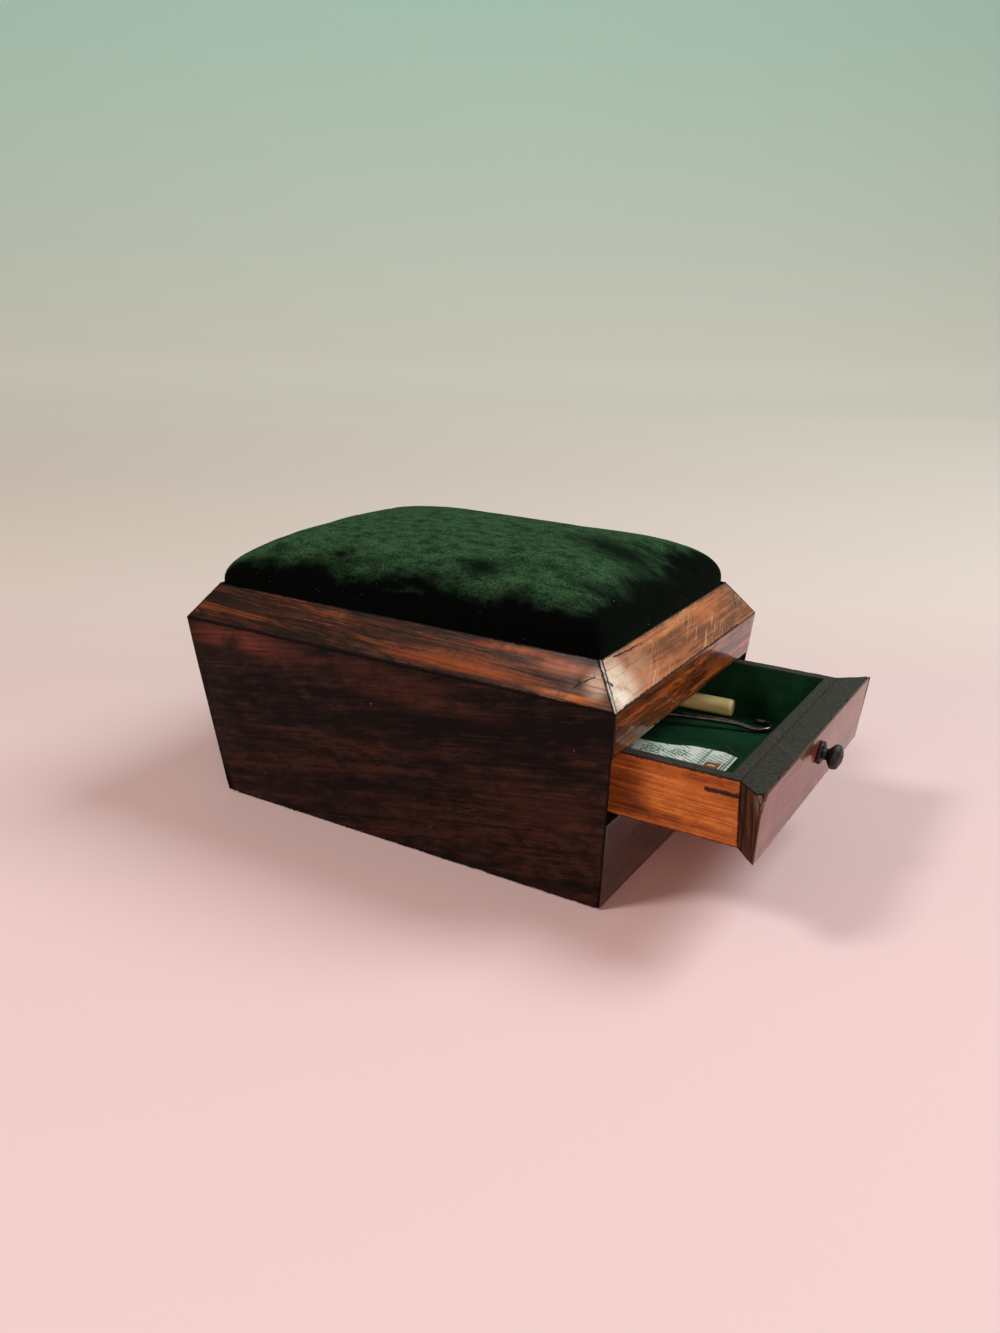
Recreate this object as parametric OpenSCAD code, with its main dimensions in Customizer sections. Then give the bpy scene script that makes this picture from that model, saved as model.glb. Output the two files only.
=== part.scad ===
// Pincushion box: a veneered sewing box that widens upwards to a bevelled rim, with a velvet
// pincushion filling its top and one drawer in one end. The origin is the centre of the underside,
// +X points out of the drawer end and +Z points up. The drawer is drawn pulled out.

/* [Case] */
// Length of the case at its widest line, the arris
arris_l = 200; // [180:1:230]
// Width of the case at the arris
arris_w = 137; // [125:1:160]
// Height of the arris above the table
arris_h = 82.5; // [78:0.5:95]
// Length of the case at its foot
foot_l = 185; // [172:1:200]
// Width of the case at its foot
foot_w = 119; // [112:1:137]
// Thickness of the long side boards, measured level
side_t = 8.1; // [6:0.1:10]
// Thickness of the end boards, measured level
end_t = 10.6; // [8:0.1:12]
// Thickness of the rosewood veneer on the case
veneer_t = 0.9; // [0.6:0.1:1.4]
// Thickness of the base board
base_t = 7; // [4:0.5:10]
// Thickness of the sheet under the base board
underlay_t = 0.6; // [0.4:0.1:1]
// How far the sheet under the base stays back from the foot's edge
underlay_inset = 1.2; // [0.5:0.1:3]
// Thickness of the board that the drawer runs on
bed_t = 5; // [3:0.5:7]
// Thickness of the board above the drawer
dust_t = 3; // [2:0.5:5]
// Depth of the grooves that hold the two inner boards
housing_depth = 2.5; // [1:0.5:4]
// Width of the blocks glued into the inner corners
block_w = 14; // [8:1:20]
// Diameter of the nails through the foot of the case
nail_d = 1.2; // [1:0.1:2]
// Length of the nails
nail_l = 16; // [13:1:20]

/* [Rim] */
// Height of the rim's inner edge above the arris
rim_rise = 14.1; // [10:0.1:20]
// Run of the bevel at the ends
rim_run_l = 11.25; // [8:0.25:16]
// Run of the bevel at the long sides
rim_run_w = 9.75; // [7:0.25:14]
// Thickness of the bevel's veneer, measured level
bevel_veneer = 1.1; // [0.8:0.1:1.6]
// Width of the light line let into each mitre
line_w = 1.1; // [0.8:0.1:2]

/* [Pincushion] */
// Rise of the cushion above the rim
crown_h = 24; // [14:1:34]
// Thickness of the velvet and its backing
velvet_t = 1.2; // [0.8:0.1:2]
// Gap between the velvet and the rim
velvet_gap = 0.3; // [0.2:0.1:1]
// Thickness of the board under the stuffing
cushion_board_t = 5; // [3:0.5:7]
// Height of the battens that carry the cushion
bearer_h = 7; // [4:0.5:9]
// Width of the battens
bearer_w = 8; // [5:0.5:12]

/* [Drawer] */
// Height of the drawer opening's lower edge above the table
opening_z = 37.4; // [32:0.2:42]
// Height of the drawer opening
opening_h = 27.4; // [25:0.2:30]
// How far the drawer is pulled out
pulled_out = 52.9; // [0:0.1:110]
// Gap above the drawer
top_gap = 0.7; // [0.4:0.1:1.5]
// Gap under the drawer
foot_gap = 0.35; // [0.3:0.05:0.8]
// Gap on each side of the drawer
flank_gap = 0.4; // [0.3:0.1:1]
// Gap behind the drawer when it is shut
back_gap = 3; // [1:0.5:10]
// Thickness of the drawer sides, measured level
drawer_side_t = 4.5; // [3.5:0.1:6]
// Thickness of the inner front
inner_front_t = 4.5; // [3.5:0.1:7]
// Thickness of the drawer back
drawer_back_t = 4.5; // [3.5:0.1:7]
// Thickness of the drawer bottom
bottom_t = 2; // [1.5:0.1:3]
// Height of the drawer bottom's underside above the drawer's lower edge
bottom_rise = 1.95; // [1:0.05:4]
// Depth of the grooves that hold the drawer bottom
groove_depth = 1.5; // [1:0.1:2.5]
// Thickness of the facing at the opening's upper edge, veneer included
facing_t = 10.9; // [9:0.1:14]
// Gap between the facing's outer corners and the case
mitre_gap = 0.5; // [0.3:0.1:1]
// Thickness of the green lining paper
lining_t = 0.3; // [0.2:0.05:0.6]
// Thickness of the dark strip on the drawer's top edges
binding_t = 0.35; // [0.2:0.05:0.6]
// Thickness of the dark slip let into each drawer side
slip_t = 0.9; // [0.6:0.1:2.5]
// Length of the slip in the drawer side
slip_l = 12.1; // [8:0.1:20]
// Length of the slip in the facing
slip_tenon = 4; // [2:0.5:5]
// Depth of the slip in the drawer side
slip_depth = 2.5; // [1.5:0.1:3]
// How far the slip lies under the drawer side's face
slip_sunk = 0.4; // [0.3:0.1:0.8]
// Height of the slip's middle above the table
slip_z = 57.8; // [50:0.2:60]

/* [Knob] */
// Height of the knob's middle above the table
knob_z = 55; // [48:0.5:57]
// Diameter of the knob's collar
collar_d = 8.8; // [7:0.2:12]
// Thickness of the knob's collar
collar_t = 1.7; // [1:0.1:3]
// Diameter of the knob's waist
waist_d = 4.6; // [4.2:0.1:6]
// Length of the knob's waist
waist_l = 1.8; // [1:0.1:4]
// Diameter of the knob's head
head_d = 9.6; // [8:0.2:14]
// Thickness of the knob's head
head_t = 5.2; // [3.5:0.1:8]
// Diameter of the knob's spigot
spigot_d = 3.6; // [3:0.1:4]
// Length of the knob's spigot
spigot_l = 7; // [5:0.5:8]

/* [Tools in the drawer] */
// Diameter of the bone handle
bone_d = 7.5; // [6:0.1:9]
// Length of the bone handle
bone_l = 66; // [50:1:75]
// Length of the steel shank on the bone handle
shank_l = 38; // [20:1:42]
// Diameter of that shank
shank_d = 2.4; // [1.5:0.1:3]
// Diameter of the button hook's handle
grip_d = 7.8; // [6:0.1:9]
// Length of the button hook's handle
grip_l = 46; // [30:1:50]
// Diameter of the button hook's shank
hook_d = 2.6; // [2:0.1:3.2]
// Diameter of the button hook's bent end
hook_end_d = 2.2; // [1.6:0.1:2.4]
// Length of the paper ticket
ticket_l = 62; // [40:1:80]
// Width of the paper ticket
ticket_w = 32; // [20:1:40]
// Thickness of the paper ticket
ticket_t = 0.25; // [0.2:0.05:0.5]

/* [Hidden] */
$fn = 48;

// Colours of the woods, papers, velvet and tools
rosewood = [0.30, 0.14, 0.09];
rim_rosewood = [0.48, 0.25, 0.14];
pine = [0.80, 0.62, 0.38];
mahogany = [0.70, 0.32, 0.11];
ebony = [0.06, 0.04, 0.04];
light_line = [0.72, 0.66, 0.58];
velvet_green = [0.03, 0.16, 0.08];
paper_green = [0.03, 0.17, 0.09];
dark_strip = [0.17, 0.17, 0.13];
bone = [0.80, 0.74, 0.42];
steel = [0.13, 0.13, 0.14];

// The case leans outwards by these amounts over the arris height
lean_l = (arris_l - foot_l) / 2;
lean_w = (arris_w - foot_w) / 2;
function half_l(z) = foot_l / 2 + lean_l * z / arris_h;
function half_w(z) = foot_w / 2 + lean_w * z / arris_h;

side_total = side_t + veneer_t;
end_total = end_t + veneer_t;
case_z = underlay_t;
base_top = case_z + base_t;
opening_top = opening_z + opening_h;
rim_top = arris_h + rim_rise;
rim_half_l = arris_l / 2 - rim_run_l;
rim_half_w = arris_w / 2 - rim_run_w;

// The mitre of the case runs inwards a little flatter than the boards' own corner,
// which leaves the facing room beside it
mitre_slope = 0.8;
mitre_reach = 0.3 * arris_w;

// The pincushion's outline inside the rim
crown_half_l = rim_half_l - velvet_gap;
crown_half_w = rim_half_w - velvet_gap;
crown_steps_l = 24;
crown_steps_w = 16;
crown_power_l = 6;
crown_power_w = 3;
crown_corner = 0.035;
crown_swell = 0.012;

// The drawer, shut
drawer_z = opening_z + foot_gap;
drawer_top = opening_top - top_gap;
wood_top = drawer_top - binding_t;
flank = side_total + flank_gap;
facing_back = half_l(opening_top) - facing_t;
drawer_tail = -(half_l(drawer_z) - end_total - back_gap);
bottom_z = drawer_z + bottom_rise;
floor_z = bottom_z + bottom_t;
room_front = facing_back - inner_front_t;
room_tail = drawer_tail + drawer_back_t;
lined_floor = floor_z + lining_t;

// Slack that lets a cutting form run past the piece that it cuts
past = 1;

// Solid along X with the given outline of Y and Z
module along_x(outline, length) {
    rotate([90, 0, 90]) linear_extrude(height = length, center = true) polygon(outline);
}

// Solid along Y with the given outline of X and Z
module along_y(outline, length) {
    rotate([90, 0, 0]) linear_extrude(height = length, center = true) polygon(outline);
}

// Block with four leaning sides: half sizes low and high, between two heights
module leaning_block(low_l, low_w, high_l, high_w, z0, z1) {
    intersection() {
        along_y([[-low_l, z0], [low_l, z0], [high_l, z1], [-high_l, z1]],
            2 * max(low_w, high_w) + 2 * past);
        along_x([[-low_w, z0], [low_w, z0], [high_w, z1], [-high_w, z1]],
            2 * max(low_l, high_l) + 2 * past);
    }
}

// The case's own outer form between two heights, drawn in by a level distance on each side
module case_block(in_l, in_w, z0, z1) {
    leaning_block(half_l(z0) - in_l, half_w(z0) - in_w,
        half_l(z1) - in_l, half_w(z1) - in_w, z0, z1);
}

// Layer of the drawer end's wall, from one level depth to another, longer than the wall
module end_layer(d0, d1, z0, z1) {
    along_y([[half_l(z0) - d1, z0], [half_l(z0) - d0, z0],
        [half_l(z1) - d0, z1], [half_l(z1) - d1, z1]], arris_w + 2 * past);
}

// Layer of the far side's wall, from one level depth to another, longer than the wall
module side_layer(d0, d1, z0, z1) {
    along_x([[half_w(z0) - d1, z0], [half_w(z0) - d0, z0],
        [half_w(z1) - d0, z1], [half_w(z1) - d1, z1]], arris_l + 2 * past);
}

// Everything on the far side's side of the mitre at the corner between drawer end and far side
module mitre_block() {
    turn = atan(mitre_slope);
    leaning = lean_w * cos(turn) - lean_l * sin(turn);
    translate([foot_l / 2, foot_w / 2, 0]) rotate([0, 0, turn])
        rotate([-atan(leaning / arris_h), 0, 0])
            translate([-mitre_reach, 0, -mitre_reach / 4])
                cube([2 * mitre_reach, mitre_reach, arris_h + mitre_reach]);
}

// Copies of a form at both ends of the case
module at_both_ends() {
    children();
    mirror([1, 0, 0]) children();
}

// Copies of a form on both long sides of the case
module on_both_sides() {
    children();
    mirror([0, 1, 0]) children();
}

// End wall of the drawer end, cut to the mitres
module mitred_end(d0, d1, z0, z1) {
    difference() {
        end_layer(d0, d1, z0, z1);
        on_both_sides() mitre_block();
    }
}

// Far side wall, cut to the mitres
module mitred_side(d0, d1) {
    difference() {
        side_layer(d0, d1, case_z, arris_h);
        at_both_ends() difference() {
            end_layer(-mitre_reach / 2, end_total, case_z - past, arris_h + past);
            mitre_block();
        }
    }
}

// Space inside the boards between two heights, drawn in further by the given distances
module inside(in_l, in_w, z0, z1) {
    case_block(end_total + in_l, side_total + in_w, z0, z1);
}

// Board between two heights, let into grooves in both sides and the blind end.
// The grooves themselves run on past the board at the drawer end.
module housed_board(z0, z1, run_on) {
    l0 = half_l(z0) - end_total;
    l1 = half_l(z1) - end_total;
    w0 = half_w(z0) - side_total + housing_depth;
    w1 = half_w(z1) - side_total + housing_depth;
    intersection() {
        along_y([[-l0 - housing_depth, z0], [l0 + run_on, z0],
            [l1 + run_on, z1], [-l1 - housing_depth, z1]], arris_w);
        along_x([[-w0, z0], [w0, z0], [w1, z1], [-w1, z1]], arris_l + 2 * past);
    }
}

module bed_form(run_on = 0) {
    housed_board(opening_z - bed_t, opening_z, run_on);
}

module dust_form(run_on = 0) {
    housed_board(opening_top, opening_top + dust_t, run_on);
}

// Nails through the foot of the case, each level and square to the wall that it goes through
module nail_forms() {
    z = case_z + base_t / 2;
    set_in = veneer_t + 0.3;
    at_both_ends() for (y = [-0.5, 0.5] * foot_w / 2)
        translate([half_l(z) - set_in - nail_l, y, z]) rotate([0, 90, 0])
            cylinder(d = nail_d, h = nail_l);
    on_both_sides() for (x = [-0.65, 0, 0.65] * foot_l / 2)
        translate([x, half_w(z) - set_in, z]) rotate([90, 0, 0]) cylinder(d = nail_d, h = nail_l);
}

module base_lining() {
    color(dark_strip) leaning_block(half_l(0) - underlay_inset, half_w(0) - underlay_inset,
        half_l(0) - underlay_inset, half_w(0) - underlay_inset, 0, underlay_t);
}

module base_board() {
    color(pine) difference() {
        inside(0, 0, case_z, base_top);
        nail_forms();
    }
}

module base_pins() {
    color(steel) nail_forms();
}

module far_side_board() {
    difference() {
        mitred_side(veneer_t, side_total);
        bed_form(housing_depth);
        dust_form(housing_depth);
        nail_forms();
    }
}

module side_board_near() {
    color(pine) mirror([0, 1, 0]) far_side_board();
}

module side_board_far() {
    color(pine) far_side_board();
}

module end_board_blind() {
    color(pine) difference() {
        mirror([1, 0, 0]) mitred_end(veneer_t, end_total, case_z, arris_h);
        bed_form();
        dust_form();
        nail_forms();
    }
}

module end_rail_upper() {
    color(pine) mitred_end(veneer_t, end_total, opening_top, arris_h);
}

module end_rail_lower() {
    color(pine) difference() {
        mitred_end(veneer_t, end_total, case_z, opening_z);
        nail_forms();
    }
}

module corner_blocks() {
    z1 = opening_z - bed_t;
    corner_l = half_l(base_top) - end_total;
    corner_w = half_w(base_top) - side_total;
    color(pine) intersection() {
        inside(0, 0, base_top, z1);
        at_both_ends() on_both_sides() linear_extrude(height = arris_h)
            polygon([[corner_l - 2 * block_w, corner_w + block_w],
                [corner_l + block_w, corner_w - 2 * block_w],
                [corner_l + block_w, corner_w + block_w]]);
    }
}

module drawer_bed() {
    color(pine) bed_form();
}

module dust_board() {
    color(pine) dust_form();
}

module side_veneer_near() {
    color(rosewood) mirror([0, 1, 0]) mitred_side(0, veneer_t);
}

module side_veneer_far() {
    color(rosewood) mitred_side(0, veneer_t);
}

module end_veneer_blind() {
    color(rosewood) mirror([1, 0, 0]) mitred_end(0, veneer_t, case_z, arris_h);
}

module end_veneer_upper() {
    color(rosewood) mitred_end(0, veneer_t, opening_top, arris_h);
}

module end_veneer_lower() {
    color(rosewood) mitred_end(0, veneer_t, case_z, opening_z);
}

// The bevel's solid form, drawn in level by the given distance
module bevel_form(inset) {
    leaning_block(arris_l / 2 - inset, arris_w / 2 - inset,
        rim_half_l - inset, rim_half_w - inset, arris_h, rim_top);
}

// The opening inside the rim
module rim_well() {
    translate([-rim_half_l, -rim_half_w, arris_h - past])
        cube([2 * rim_half_l, 2 * rim_half_w, rim_rise + 2 * past]);
}

// Upright block over the far stretch of the rim, between its two mitres
module rim_far_block() {
    out = 0.3;
    translate([0, 0, arris_h - past]) linear_extrude(height = rim_rise + 2 * past)
        polygon([[-rim_half_l, rim_half_w], [rim_half_l, rim_half_w],
            [arris_l / 2 + out * rim_run_l, arris_w / 2 + out * rim_run_w],
            [-arris_l / 2 - out * rim_run_l, arris_w / 2 + out * rim_run_w]]);
}

// Upright strips over the four mitres of the rim
module rim_line_strips() {
    at_both_ends() on_both_sides()
        translate([rim_half_l, rim_half_w, arris_h - past])
            rotate([0, 0, atan(rim_run_w / rim_run_l)])
                translate([-2 * line_w, -line_w / 2, 0])
                    cube([2 * arris_w / 4, line_w, rim_rise + 2 * past]);
}

module rim_core_ring() {
    difference() {
        bevel_form(bevel_veneer);
        rim_well();
    }
}

module rim_veneer_ring() {
    difference() {
        bevel_form(0);
        bevel_form(bevel_veneer);
        rim_well();
    }
}

// The far stretch of a rim ring
module rim_far_part() {
    intersection() {
        children();
        rim_far_block();
    }
}

// The drawer end's stretch of a rim ring
module rim_end_part() {
    difference() {
        intersection() {
            children();
            translate([0, -arris_w, 0]) cube([arris_l, 2 * arris_w, 2 * rim_top]);
        }
        on_both_sides() rim_far_block();
    }
}

module rim_core_far() {
    color(pine) rim_far_part() rim_core_ring();
}

module rim_core_near() {
    color(pine) mirror([0, 1, 0]) rim_far_part() rim_core_ring();
}

module rim_core_drawer_end() {
    color(pine) rim_end_part() rim_core_ring();
}

module rim_core_blind() {
    color(pine) mirror([1, 0, 0]) rim_end_part() rim_core_ring();
}

// Rim veneer with the lines' channels cut
module lined_rim_veneer() {
    difference() {
        rim_veneer_ring();
        rim_line_strips();
    }
}

module rim_veneer_far() {
    color(rim_rosewood) rim_far_part() lined_rim_veneer();
}

module rim_veneer_near() {
    color(rim_rosewood) mirror([0, 1, 0]) rim_far_part() lined_rim_veneer();
}

module rim_veneer_drawer_end() {
    color(rim_rosewood) rim_end_part() lined_rim_veneer();
}

module rim_veneer_blind() {
    color(rim_rosewood) mirror([1, 0, 0]) rim_end_part() lined_rim_veneer();
}

module rim_lines() {
    color(light_line) intersection() {
        rim_veneer_ring();
        rim_line_strips();
    }
}

// Batten inside the far side board, its top level with the arris
module far_bearer() {
    z0 = arris_h - bearer_h;
    l0 = half_l(z0) - end_total;
    l1 = half_l(arris_h) - end_total;
    intersection() {
        side_layer(side_total, side_total + bearer_w, z0, arris_h);
        along_y([[-l0, z0], [l0, z0], [l1, arris_h], [-l1, arris_h]], arris_w + 2 * past);
    }
}

module cushion_bearer_far() {
    color(pine) far_bearer();
}

module cushion_bearer_near() {
    color(pine) mirror([0, 1, 0]) far_bearer();
}

// Point of the cushion's surface for two grid steps, drawn in by the given thickness.
// Steps crowd towards the edges, where the crown falls away fastest.
function crown_point(i, j, inset) = let(
    u = -cos(180 * i / crown_steps_l),
    v = -cos(180 * j / crown_steps_w),
    e = sqrt(max(0, (1 - pow(abs(u), crown_power_l)) * (1 - pow(abs(v), crown_power_w)))),
    pull = 1 - crown_corner * pow(abs(u * v), 10),
    swell = 1 + crown_swell * 4 * e * (1 - e) * pow(max(abs(u), abs(v)), 8))
    [(crown_half_l - inset) * u * pull * swell, (crown_half_w - inset) * v * pull * swell,
        rim_top + (crown_h - inset) * e];

function crown_grid(inset) = [for (j = [0:crown_steps_w]) for (i = [0:crown_steps_l])
    crown_point(i, j, inset)];

// Grid steps round the cushion's edge, once round
crown_edge = concat(
    [for (i = [0:crown_steps_l - 1]) [i, 0]],
    [for (j = [0:crown_steps_w - 1]) [crown_steps_l, j]],
    [for (i = [crown_steps_l:-1:1]) [i, crown_steps_w]],
    [for (j = [crown_steps_w:-1:1]) [0, j]]);

function edge_ring(z, inset) = [for (s = crown_edge)
    let(p = crown_point(s[0], s[1], inset)) [p[0], p[1], z]];

grid_count = (crown_steps_l + 1) * (crown_steps_w + 1);
edge_count = len(crown_edge);

// Index of a grid point in a grid that starts at the given index
function grid_index(i, j, first) = first + j * (crown_steps_l + 1) + i;
edge_on_grid = [for (s = crown_edge) grid_index(s[0], s[1], 0)];

// Triangles of a grid, facing up, or down when turned
function grid_faces(first, turned) = [for (j = [0:crown_steps_w - 1])
    for (i = [0:crown_steps_l - 1])
    let(a = grid_index(i, j, first), b = grid_index(i + 1, j, first),
        c = grid_index(i + 1, j + 1, first), d = grid_index(i, j + 1, first))
    each (turned ? [[a, b, c], [a, c, d]] : [[a, c, b], [a, d, c]])];

// Triangles of a wall between two rings of indices, the upper ring first
function wall_faces(upper, lower) = [for (k = [0:edge_count - 1])
    let(n = (k + 1) % edge_count)
    each [[upper[k], upper[n], lower[n]], [upper[k], lower[n], lower[k]]]];

function ring_from(first) = [for (k = [0:edge_count - 1]) first + k];

module cushion_board() {
    color(pine) translate([0, 0, arris_h]) linear_extrude(height = cushion_board_t)
        polygon([for (p = edge_ring(0, velvet_t)) [p[0], p[1]]]);
}

module cushion_stuffing() {
    floor_at = arris_h + cushion_board_t;
    points = concat(crown_grid(velvet_t), edge_ring(floor_at, velvet_t),
        [[0, 0, floor_at]]);
    foot = ring_from(grid_count);
    hub = grid_count + edge_count;
    color(velvet_green) polyhedron(points, concat(
        grid_faces(0, false),
        wall_faces(edge_on_grid, foot),
        [for (k = [0:edge_count - 1]) [hub, foot[k], foot[(k + 1) % edge_count]]]));
}

module velvet_cover() {
    points = concat(crown_grid(0), edge_ring(arris_h, 0),
        crown_grid(velvet_t), edge_ring(arris_h, velvet_t));
    outer_foot = ring_from(grid_count);
    inner = grid_count + edge_count;
    inner_edge = [for (k = edge_on_grid) inner + k];
    inner_foot = ring_from(inner + grid_count);
    color(velvet_green) polyhedron(points, concat(
        grid_faces(0, false),
        wall_faces(edge_on_grid, outer_foot),
        wall_faces(outer_foot, inner_foot),
        wall_faces(inner_foot, inner_edge),
        grid_faces(inner, true)));
}

// Everything that moves with the drawer
module pulled() {
    translate([pulled_out, 0, 0]) children();
}

// Block between the drawer's leaning outer faces, drawn in level by the given distance
module drawer_block(inset, x0, x1, z0, z1) {
    w0 = half_w(z0) - flank - inset;
    w1 = half_w(z1) - flank - inset;
    translate([(x0 + x1) / 2, 0, 0])
        along_x([[-w0, z0], [w0, z0], [w1, z1], [-w1, z1]], x1 - x0);
}

module bottom_form() {
    drawer_block(drawer_side_t - groove_depth, room_tail - groove_depth,
        room_front + groove_depth, bottom_z, floor_z);
}

// Slips on both sides of the drawer, from a level depth under its outer faces inwards
module slip_forms(sunk) {
    z0 = slip_z - slip_t / 2;
    z1 = slip_z + slip_t / 2;
    difference() {
        drawer_block(sunk, facing_back - slip_l, facing_back + slip_tenon, z0, z1);
        drawer_block(slip_depth, facing_back - slip_l - past, facing_back + slip_tenon + past,
            z0 - past, z1 + past);
    }
}

// Far drawer side, grooved for the bottom and the slip
module far_drawer_side() {
    difference() {
        drawer_block(0, drawer_tail, facing_back, drawer_z, wood_top);
        drawer_block(drawer_side_t, drawer_tail - past, facing_back + past,
            drawer_z - past, wood_top + past);
        translate([-arris_l, -2 * arris_w, 0]) cube([3 * arris_l, 2 * arris_w, 2 * rim_top]);
        bottom_form();
        slip_forms(-past);
    }
}

module drawer_side_far() {
    color(mahogany) pulled() far_drawer_side();
}

module drawer_side_near() {
    color(mahogany) pulled() mirror([0, 1, 0]) far_drawer_side();
}

module drawer_inner_front() {
    color(mahogany) pulled() difference() {
        drawer_block(drawer_side_t, room_front, facing_back, drawer_z, wood_top);
        bottom_form();
    }
}

module drawer_back() {
    color(mahogany) pulled() difference() {
        drawer_block(drawer_side_t, drawer_tail, room_tail, drawer_z, wood_top);
        bottom_form();
    }
}

module drawer_bottom() {
    color(mahogany) pulled() bottom_form();
}

// Half width of the facing at a height and at a share of its thickness, 0 at its back
function facing_half_w(z, share) = let(
    back = half_w(z) - flank,
    front = half_w(z) - mitre_gap)
    back + (front - back) * share;

// Points of the facing's level outline at a height, between two depths under its front plane
function facing_outline(z, d0, d1) = let(
    thickness = half_l(z) - facing_back,
    x_front = half_l(z) - d0,
    x_rear = half_l(z) - min(d1, thickness),
    w_front = facing_half_w(z, 1 - d0 / thickness),
    w_rear = facing_half_w(z, 1 - min(d1, thickness) / thickness))
    [[x_front, -w_front, z], [x_front, w_front, z], [x_rear, w_rear, z], [x_rear, -w_rear, z]];

// Layer of the facing between two depths under its front plane and two heights
module facing_layer(d0, d1, z0, z1) {
    polyhedron(concat(facing_outline(z0, d0, d1), facing_outline(z1, d0, d1)),
        [[0, 1, 2, 3], [7, 6, 5, 4], [4, 5, 1, 0], [5, 6, 1], [6, 2, 1], [6, 7, 3, 2],
            [7, 4, 3], [4, 0, 3]]);
}

// Axes of the knob: its origin lies on the facing's front plane and +Z points out of the facing
module at_knob() {
    translate([half_l(knob_z), 0, knob_z]) rotate([0, 90 + atan(lean_l / arris_h), 0]) children();
}

module spigot_hole() {
    at_knob() translate([0, 0, -spigot_l]) cylinder(d = spigot_d, h = spigot_l + past);
}

module drawer_facing() {
    color(mahogany) pulled() difference() {
        facing_layer(veneer_t, arris_l, drawer_z, wood_top);
        spigot_hole();
        slip_forms(slip_sunk);
    }
}

module facing_veneer() {
    color(rosewood) pulled() difference() {
        facing_layer(0, veneer_t, drawer_z, drawer_top);
        spigot_hole();
    }
}

module facing_slips() {
    color(ebony) pulled() slip_forms(slip_sunk);
}

module drawer_binding() {
    color(dark_strip) pulled() difference() {
        drawer_block(0, drawer_tail, facing_back, wood_top, drawer_top);
        drawer_block(drawer_side_t, room_tail, room_front, wood_top - past, drawer_top + past);
    }
}

module facing_binding() {
    color(dark_strip) pulled() facing_layer(veneer_t, arris_l, wood_top, drawer_top);
}

module lining_floor() {
    color(paper_green) pulled()
        drawer_block(drawer_side_t, room_tail, room_front, floor_z, lined_floor);
}

module lining_walls() {
    color(paper_green) pulled() difference() {
        drawer_block(drawer_side_t, room_tail, room_front, lined_floor, wood_top);
        drawer_block(drawer_side_t + lining_t, room_tail + lining_t, room_front - lining_t,
            lined_floor - past, wood_top + past);
    }
}

// Turned outline of the knob, from its collar to the face of its head
module knob_outline() {
    neck = collar_t + waist_l;
    crest = neck + head_t * 0.55;
    difference() {
        union() {
            square([collar_d / 2 - collar_t / 2, collar_t]);
            translate([collar_d / 2 - collar_t / 2, collar_t / 2]) circle(d = collar_t);
            translate([0, -spigot_l]) square([spigot_d / 2, spigot_l]);
            square([waist_d / 2, crest]);
            polygon([[0, neck], [waist_d / 2, neck], [head_d * 0.47, crest - head_t * 0.12],
                [head_d / 2, crest], [head_d * 0.49, crest + head_t * 0.14],
                [head_d * 0.40, crest + head_t * 0.32], [head_d * 0.22, crest + head_t * 0.42],
                [0, neck + head_t]]);
        }
        translate([-head_d, -spigot_l]) square([head_d, spigot_l + neck + 2 * head_t]);
    }
}

module drawer_knob() {
    color(ebony) pulled() at_knob() rotate_extrude() knob_outline();
}

// Places of the tools on the drawer's floor, as shares of its length and half width
room_half_w = half_w(lined_floor) - flank - drawer_side_t - lining_t;
function on_floor(share) = [share[0] * room_front, share[1] * room_half_w];

// The free end of each piece and its turn from +X
bone_end = on_floor([0.578, 0.92]);
bone_turn = 2.5;
grip_end = on_floor([0.223, 0.465]);
grip_turn = 16.5;
ticket_corner = on_floor([0.79, 0.084]);

// Route of the button hook's bent end from the front of its handle: shares of the drawer's
// length and half width, and the height in diameters of the hook
hook_shares = [[0.598, 0.644, 1.19], [0.731, 0.692, 0.54], [0.777, 0.718, 0.52],
    [0.802, 0.770, 0.49], [0.796, 0.850, 0.475], [0.761, 0.890, 0.46], [0.718, 0.888, 0.45]];
hook_route = [for (s = hook_shares) concat(on_floor(s), s[2] * hook_d)];

function unit(v) = v / norm(v);

// Direction of a route at one of its points
function heading(route, k) =
    unit(route[min(k + 1, len(route) - 1)] - route[max(k - 1, 0)]);

// Point of a smooth curve through four points, at a share of the way from the second to the third
function curve_point(a, b, c, d, t) =
    0.5 * (2 * b + (c - a) * t + (2 * a - 5 * b + 4 * c - d) * t * t
        + (3 * b - a - 3 * c + d) * t * t * t);

// Route with each step of a list of points cut into shorter ones along a smooth curve
function smooth_route(points, cuts) = let(last = len(points) - 1)
    concat([for (k = [0:last - 1]) for (s = [0:cuts - 1]) curve_point(
        points[max(k - 1, 0)], points[k], points[k + 1], points[min(k + 2, last)], s / cuts)],
        [points[last]]);

// Round rod along a lying route, its diameter running evenly from d0 to d1
module rod(route, d0, d1) {
    sides = 10;
    last = len(route) - 1;
    rings = [for (k = [0:last]) let(
        ahead = heading(route, k),
        across = unit(cross([0, 0, 1], ahead)),
        above = cross(ahead, across),
        r = (d0 + (d1 - d0) * k / last) / 2)
        for (s = [0:sides - 1])
            route[k] + r * (cos(360 * s / sides) * across + sin(360 * s / sides) * above)];
    hubs = [route[0], route[last]];
    first_hub = len(rings);
    polyhedron(concat(rings, hubs), concat(
        [for (k = [0:last - 1]) for (s = [0:sides - 1])
            let(a = k * sides + s, b = k * sides + (s + 1) % sides)
            each [[a, a + sides, b + sides], [a, b + sides, b]]],
        [for (s = [0:sides - 1]) [first_hub, s, (s + 1) % sides]],
        [for (s = [0:sides - 1]) [first_hub + 1, last * sides + (s + 1) % sides,
            last * sides + s]]));
}

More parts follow.
